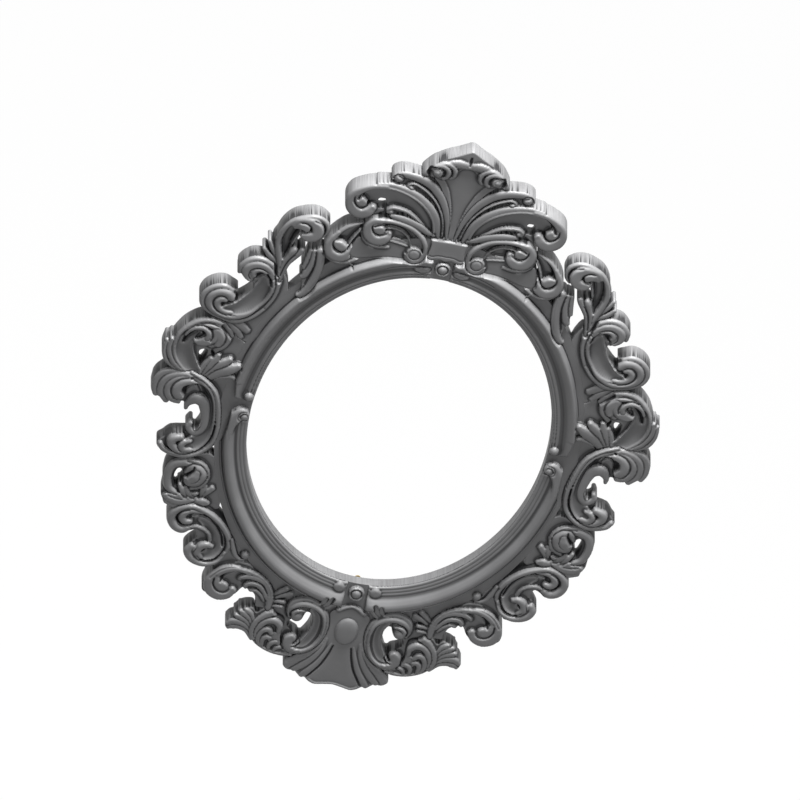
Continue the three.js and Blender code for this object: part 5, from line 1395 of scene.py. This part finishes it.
class FRAME_OT_materials(bpy.types.Operator):
    """Mixes the paint and the metal finishes"""
    bl_idname = "frame.materials"
    bl_label = "Paint and metals"

    def execute(self, context):
        colours = context.scene.frame_colours
        # The paint's own colour, with the colours of its painted shade and painted top light.
        paint = {"Raised": colours.paint_raised, "Hollow": colours.painted_shade, "Wall": colours.painted_top_light}
        finish_material("graphite_paint", paint_group(), paint, PAINT_BUMP, 0.0)
        tarnish = tarnish_group()
        for name, bright, dull in (("button_brass", colours.brass, BRASS_TARNISH),
                                   ("hanger_steel", colours.steel, STEEL_TARNISH)):
            finish_material(name, tarnish, {"Bright": bright, "Dull": dull}, METAL_BUMP, 1.0)
        return {"FINISHED"}


class FRAME_OT_ring(bpy.types.Operator):
    """Bends the ring's four felloes, with their half laps, rebate and screw holes"""
    bl_idname = "frame.ring"
    bl_label = "Ring"

    def execute(self, context):
        build_ring()
        return {"FINISHED"}


class FRAME_OT_mouldings(bpy.types.Operator):
    """Runs the beaded mouldings round the opening"""
    bl_idname = "frame.mouldings"
    bl_label = "Mouldings"

    def execute(self, context):
        carve_pieces("moulding_upper", "moulding_lower")
        return {"FINISHED"}


class FRAME_OT_rosettes(bpy.types.Operator):
    """Turns the two rosettes and the cabochon"""
    bl_idname = "frame.rosettes"
    bl_label = "Rosettes and cabochon"

    def execute(self, context):
        carve_pieces("rosette_top", "rosette_bottom")
        build_cabochon()
        return {"FINISHED"}


class FRAME_OT_crest(bpy.types.Operator):
    """Carves the crest: the band, the plaque, the fronds and the scrolls"""
    bl_idname = "frame.crest"
    bl_label = "Crest"

    def execute(self, context):
        carve_pieces("crest_band", "crest_mid_scroll", "crest_large_frond", "crest_upper_frond",
                     "crest_plaque", "crest_side_scroll")
        return {"FINISHED"}


class FRAME_OT_side_scrolls(bpy.types.Operator):
    """Carves the scrolls down the sides, from the shoulder to the foot"""
    bl_idname = "frame.side_scrolls"
    bl_label = "Side scrolls"

    def execute(self, context):
        carve_pieces("shoulder_scroll", "upper_scroll", "cheek_scroll", "middle_scroll", "lower_scroll",
                     "hip_scroll", "foot_scroll", "drop_leaf")
        return {"FINISHED"}


class FRAME_OT_apron(bpy.types.Operator):
    """Carves the apron: the bottom scrolls, their leaves and the shell"""
    bl_idname = "frame.apron"
    bl_label = "Apron"

    def execute(self, context):
        carve_pieces("bottom_scroll", "foot_leaves", "shell")
        return {"FINISHED"}


class FRAME_OT_fittings(bpy.types.Operator):
    """Finishes the turn buttons, the screws and the hangers"""
    bl_idname = "frame.fittings"
    bl_label = "Back fittings"

    def execute(self, context):
        for node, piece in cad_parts.items():
            if piece is None or piece.hide_render:
                continue
            finish = "button_brass" if node.startswith("turn_button") else "hanger_steel"
            piece.data.materials.clear()
            piece.data.materials.append(bpy.data.materials[finish])
        return {"FINISHED"}


CAMERA_RIGHT = Vector((0.97705, 0, 0.21300))
CAMERA_UP = Vector((-0.17432, 0.57465, 0.79962))
CAMERA_BACK = Vector((-0.12240, -0.81840, 0.56146))
CAMERA_SHIFT = (0.00128, 0.02996)
CAMERA_SCALE = 1.0544
CAMERA_DISTANCE = 2.5
WORLD_GREY = (0.1, 0.1, 0.1, 1)
FLOOR_GREY = (0.9, 0.9, 0.9, 1)
FLOOR_ROUGHNESS = 0.8
FLOOR_HALF = 12.0
FLOOR_WHITE_SHARE = 0.97
# Each light: place, width and power
LIGHTS = {
    "top": ((0.15, -0.4, 2.6), 1.0, 205),
    "front": ((0.5, -2.6, 1.3), 1.4, 33),
}


def show_white(tree, shader, share, output):
    """Mixes a shader with plain white for what the camera and reflections see of it."""
    path = node(tree, "ShaderNodeLightPath").outputs
    seen = maths(tree, "MAXIMUM", path["Is Camera Ray"],
                 maths(tree, "MAXIMUM", path["Is Glossy Ray"], path["Is Transmission Ray"]))
    white = node(tree, "ShaderNodeEmission", {"Color": (1, 1, 1, 1)}).outputs[0]
    blend = node(tree, "ShaderNodeMixShader", {
        "Fac": maths(tree, "MULTIPLY", seen, share), 1: shader.outputs[0], 2: white})
    wire(tree, tree.nodes[output], {"Surface": blend.outputs[0]})


class FRAME_OT_stage(bpy.types.Operator):
    """Sets up the floor, the lights and the camera"""
    bl_idname = "frame.stage"
    bl_label = "Stage"

    def execute(self, context):
        scene = context.scene
        camera_data = bpy.data.cameras.new("camera")
        camera_data.type = "ORTHO"
        camera_data.ortho_scale = CAMERA_SCALE
        camera = bpy.data.objects.new("camera", camera_data)
        centre = CAMERA_RIGHT * CAMERA_SHIFT[0] + CAMERA_UP * CAMERA_SHIFT[1] + CAMERA_BACK * CAMERA_DISTANCE
        turned = Matrix((CAMERA_RIGHT, CAMERA_UP, CAMERA_BACK)).transposed().to_4x4()
        camera.matrix_world = Matrix.Translation(centre) @ turned
        scene.collection.objects.link(camera)
        scene.camera = camera
        scene.view_settings.view_transform = "Standard"

        world = bpy.data.worlds.new("studio")
        world.use_nodes = True
        background = world.node_tree.nodes["Background"]
        background.inputs["Color"].default_value = WORLD_GREY
        show_white(world.node_tree, background, 1.0, "World Output")
        scene.world = world

        tree, shader, pale = new_material("pale_floor")
        wire(tree, shader, {"Base Color": FLOOR_GREY, "Roughness": FLOOR_ROUGHNESS})
        show_white(tree, shader, FLOOR_WHITE_SHARE, "Material Output")
        level = scene.frame_sizes.floor_level
        floor_mesh = bpy.data.meshes.new("floor")
        floor_mesh.from_pydata([(FLOOR_HALF * x, FLOOR_HALF * y, level)
                                for x, y in ((-1, -1), (1, -1), (1, 1), (-1, 1))], [], [(0, 1, 2, 3)])
        floor_mesh.materials.append(pale)
        floor = bpy.data.objects.new("floor", floor_mesh)
        scene.collection.objects.link(floor)

        for name, (place, size, power) in LIGHTS.items():
            light_data = bpy.data.lights.new(name, "AREA")
            light_data.size = size
            light_data.energy = power
            light = bpy.data.objects.new(name, light_data)
            light.location = place
            light.rotation_euler = (-Vector(place)).to_track_quat("-Z", "Y").to_euler()
            scene.collection.objects.link(light)
        return {"FINISHED"}


STEPS = (FRAME_OT_materials, FRAME_OT_ring, FRAME_OT_mouldings, FRAME_OT_rosettes, FRAME_OT_crest,
         FRAME_OT_side_scrolls, FRAME_OT_apron, FRAME_OT_fittings, FRAME_OT_stage)


class FRAME_PT_panel(bpy.types.Panel):
    """Sizes, colours and building steps of the carved frame"""
    bl_idname = "FRAME_PT_panel"
    bl_label = "Carved frame"
    bl_space_type = "VIEW_3D"
    bl_region_type = "UI"
    bl_category = "Frame"

    def draw(self, context):
        layout = self.layout
        for group in (context.scene.frame_sizes, context.scene.frame_colours):
            for name in group.__annotations__:
                layout.prop(group, name)
        for step in STEPS:
            layout.operator(step.bl_idname)


CLASSES = (FrameSizes, FrameColours, *STEPS, FRAME_PT_panel)


def register():
    for cls in CLASSES:
        bpy.utils.register_class(cls)
    bpy.types.Scene.frame_sizes = bpy.props.PointerProperty(type=FrameSizes)
    bpy.types.Scene.frame_colours = bpy.props.PointerProperty(type=FrameColours)


def unregister():
    del bpy.types.Scene.frame_colours
    del bpy.types.Scene.frame_sizes
    for cls in reversed(CLASSES):
        bpy.utils.unregister_class(cls)


def main():
    register()
    bpy.ops.frame.materials()
    bpy.ops.frame.ring()
    bpy.ops.frame.mouldings()
    bpy.ops.frame.rosettes()
    bpy.ops.frame.crest()
    bpy.ops.frame.side_scrolls()
    bpy.ops.frame.apron()
    bpy.ops.frame.fittings()
    bpy.ops.frame.stage()


if __name__ == "__main__":
    main()
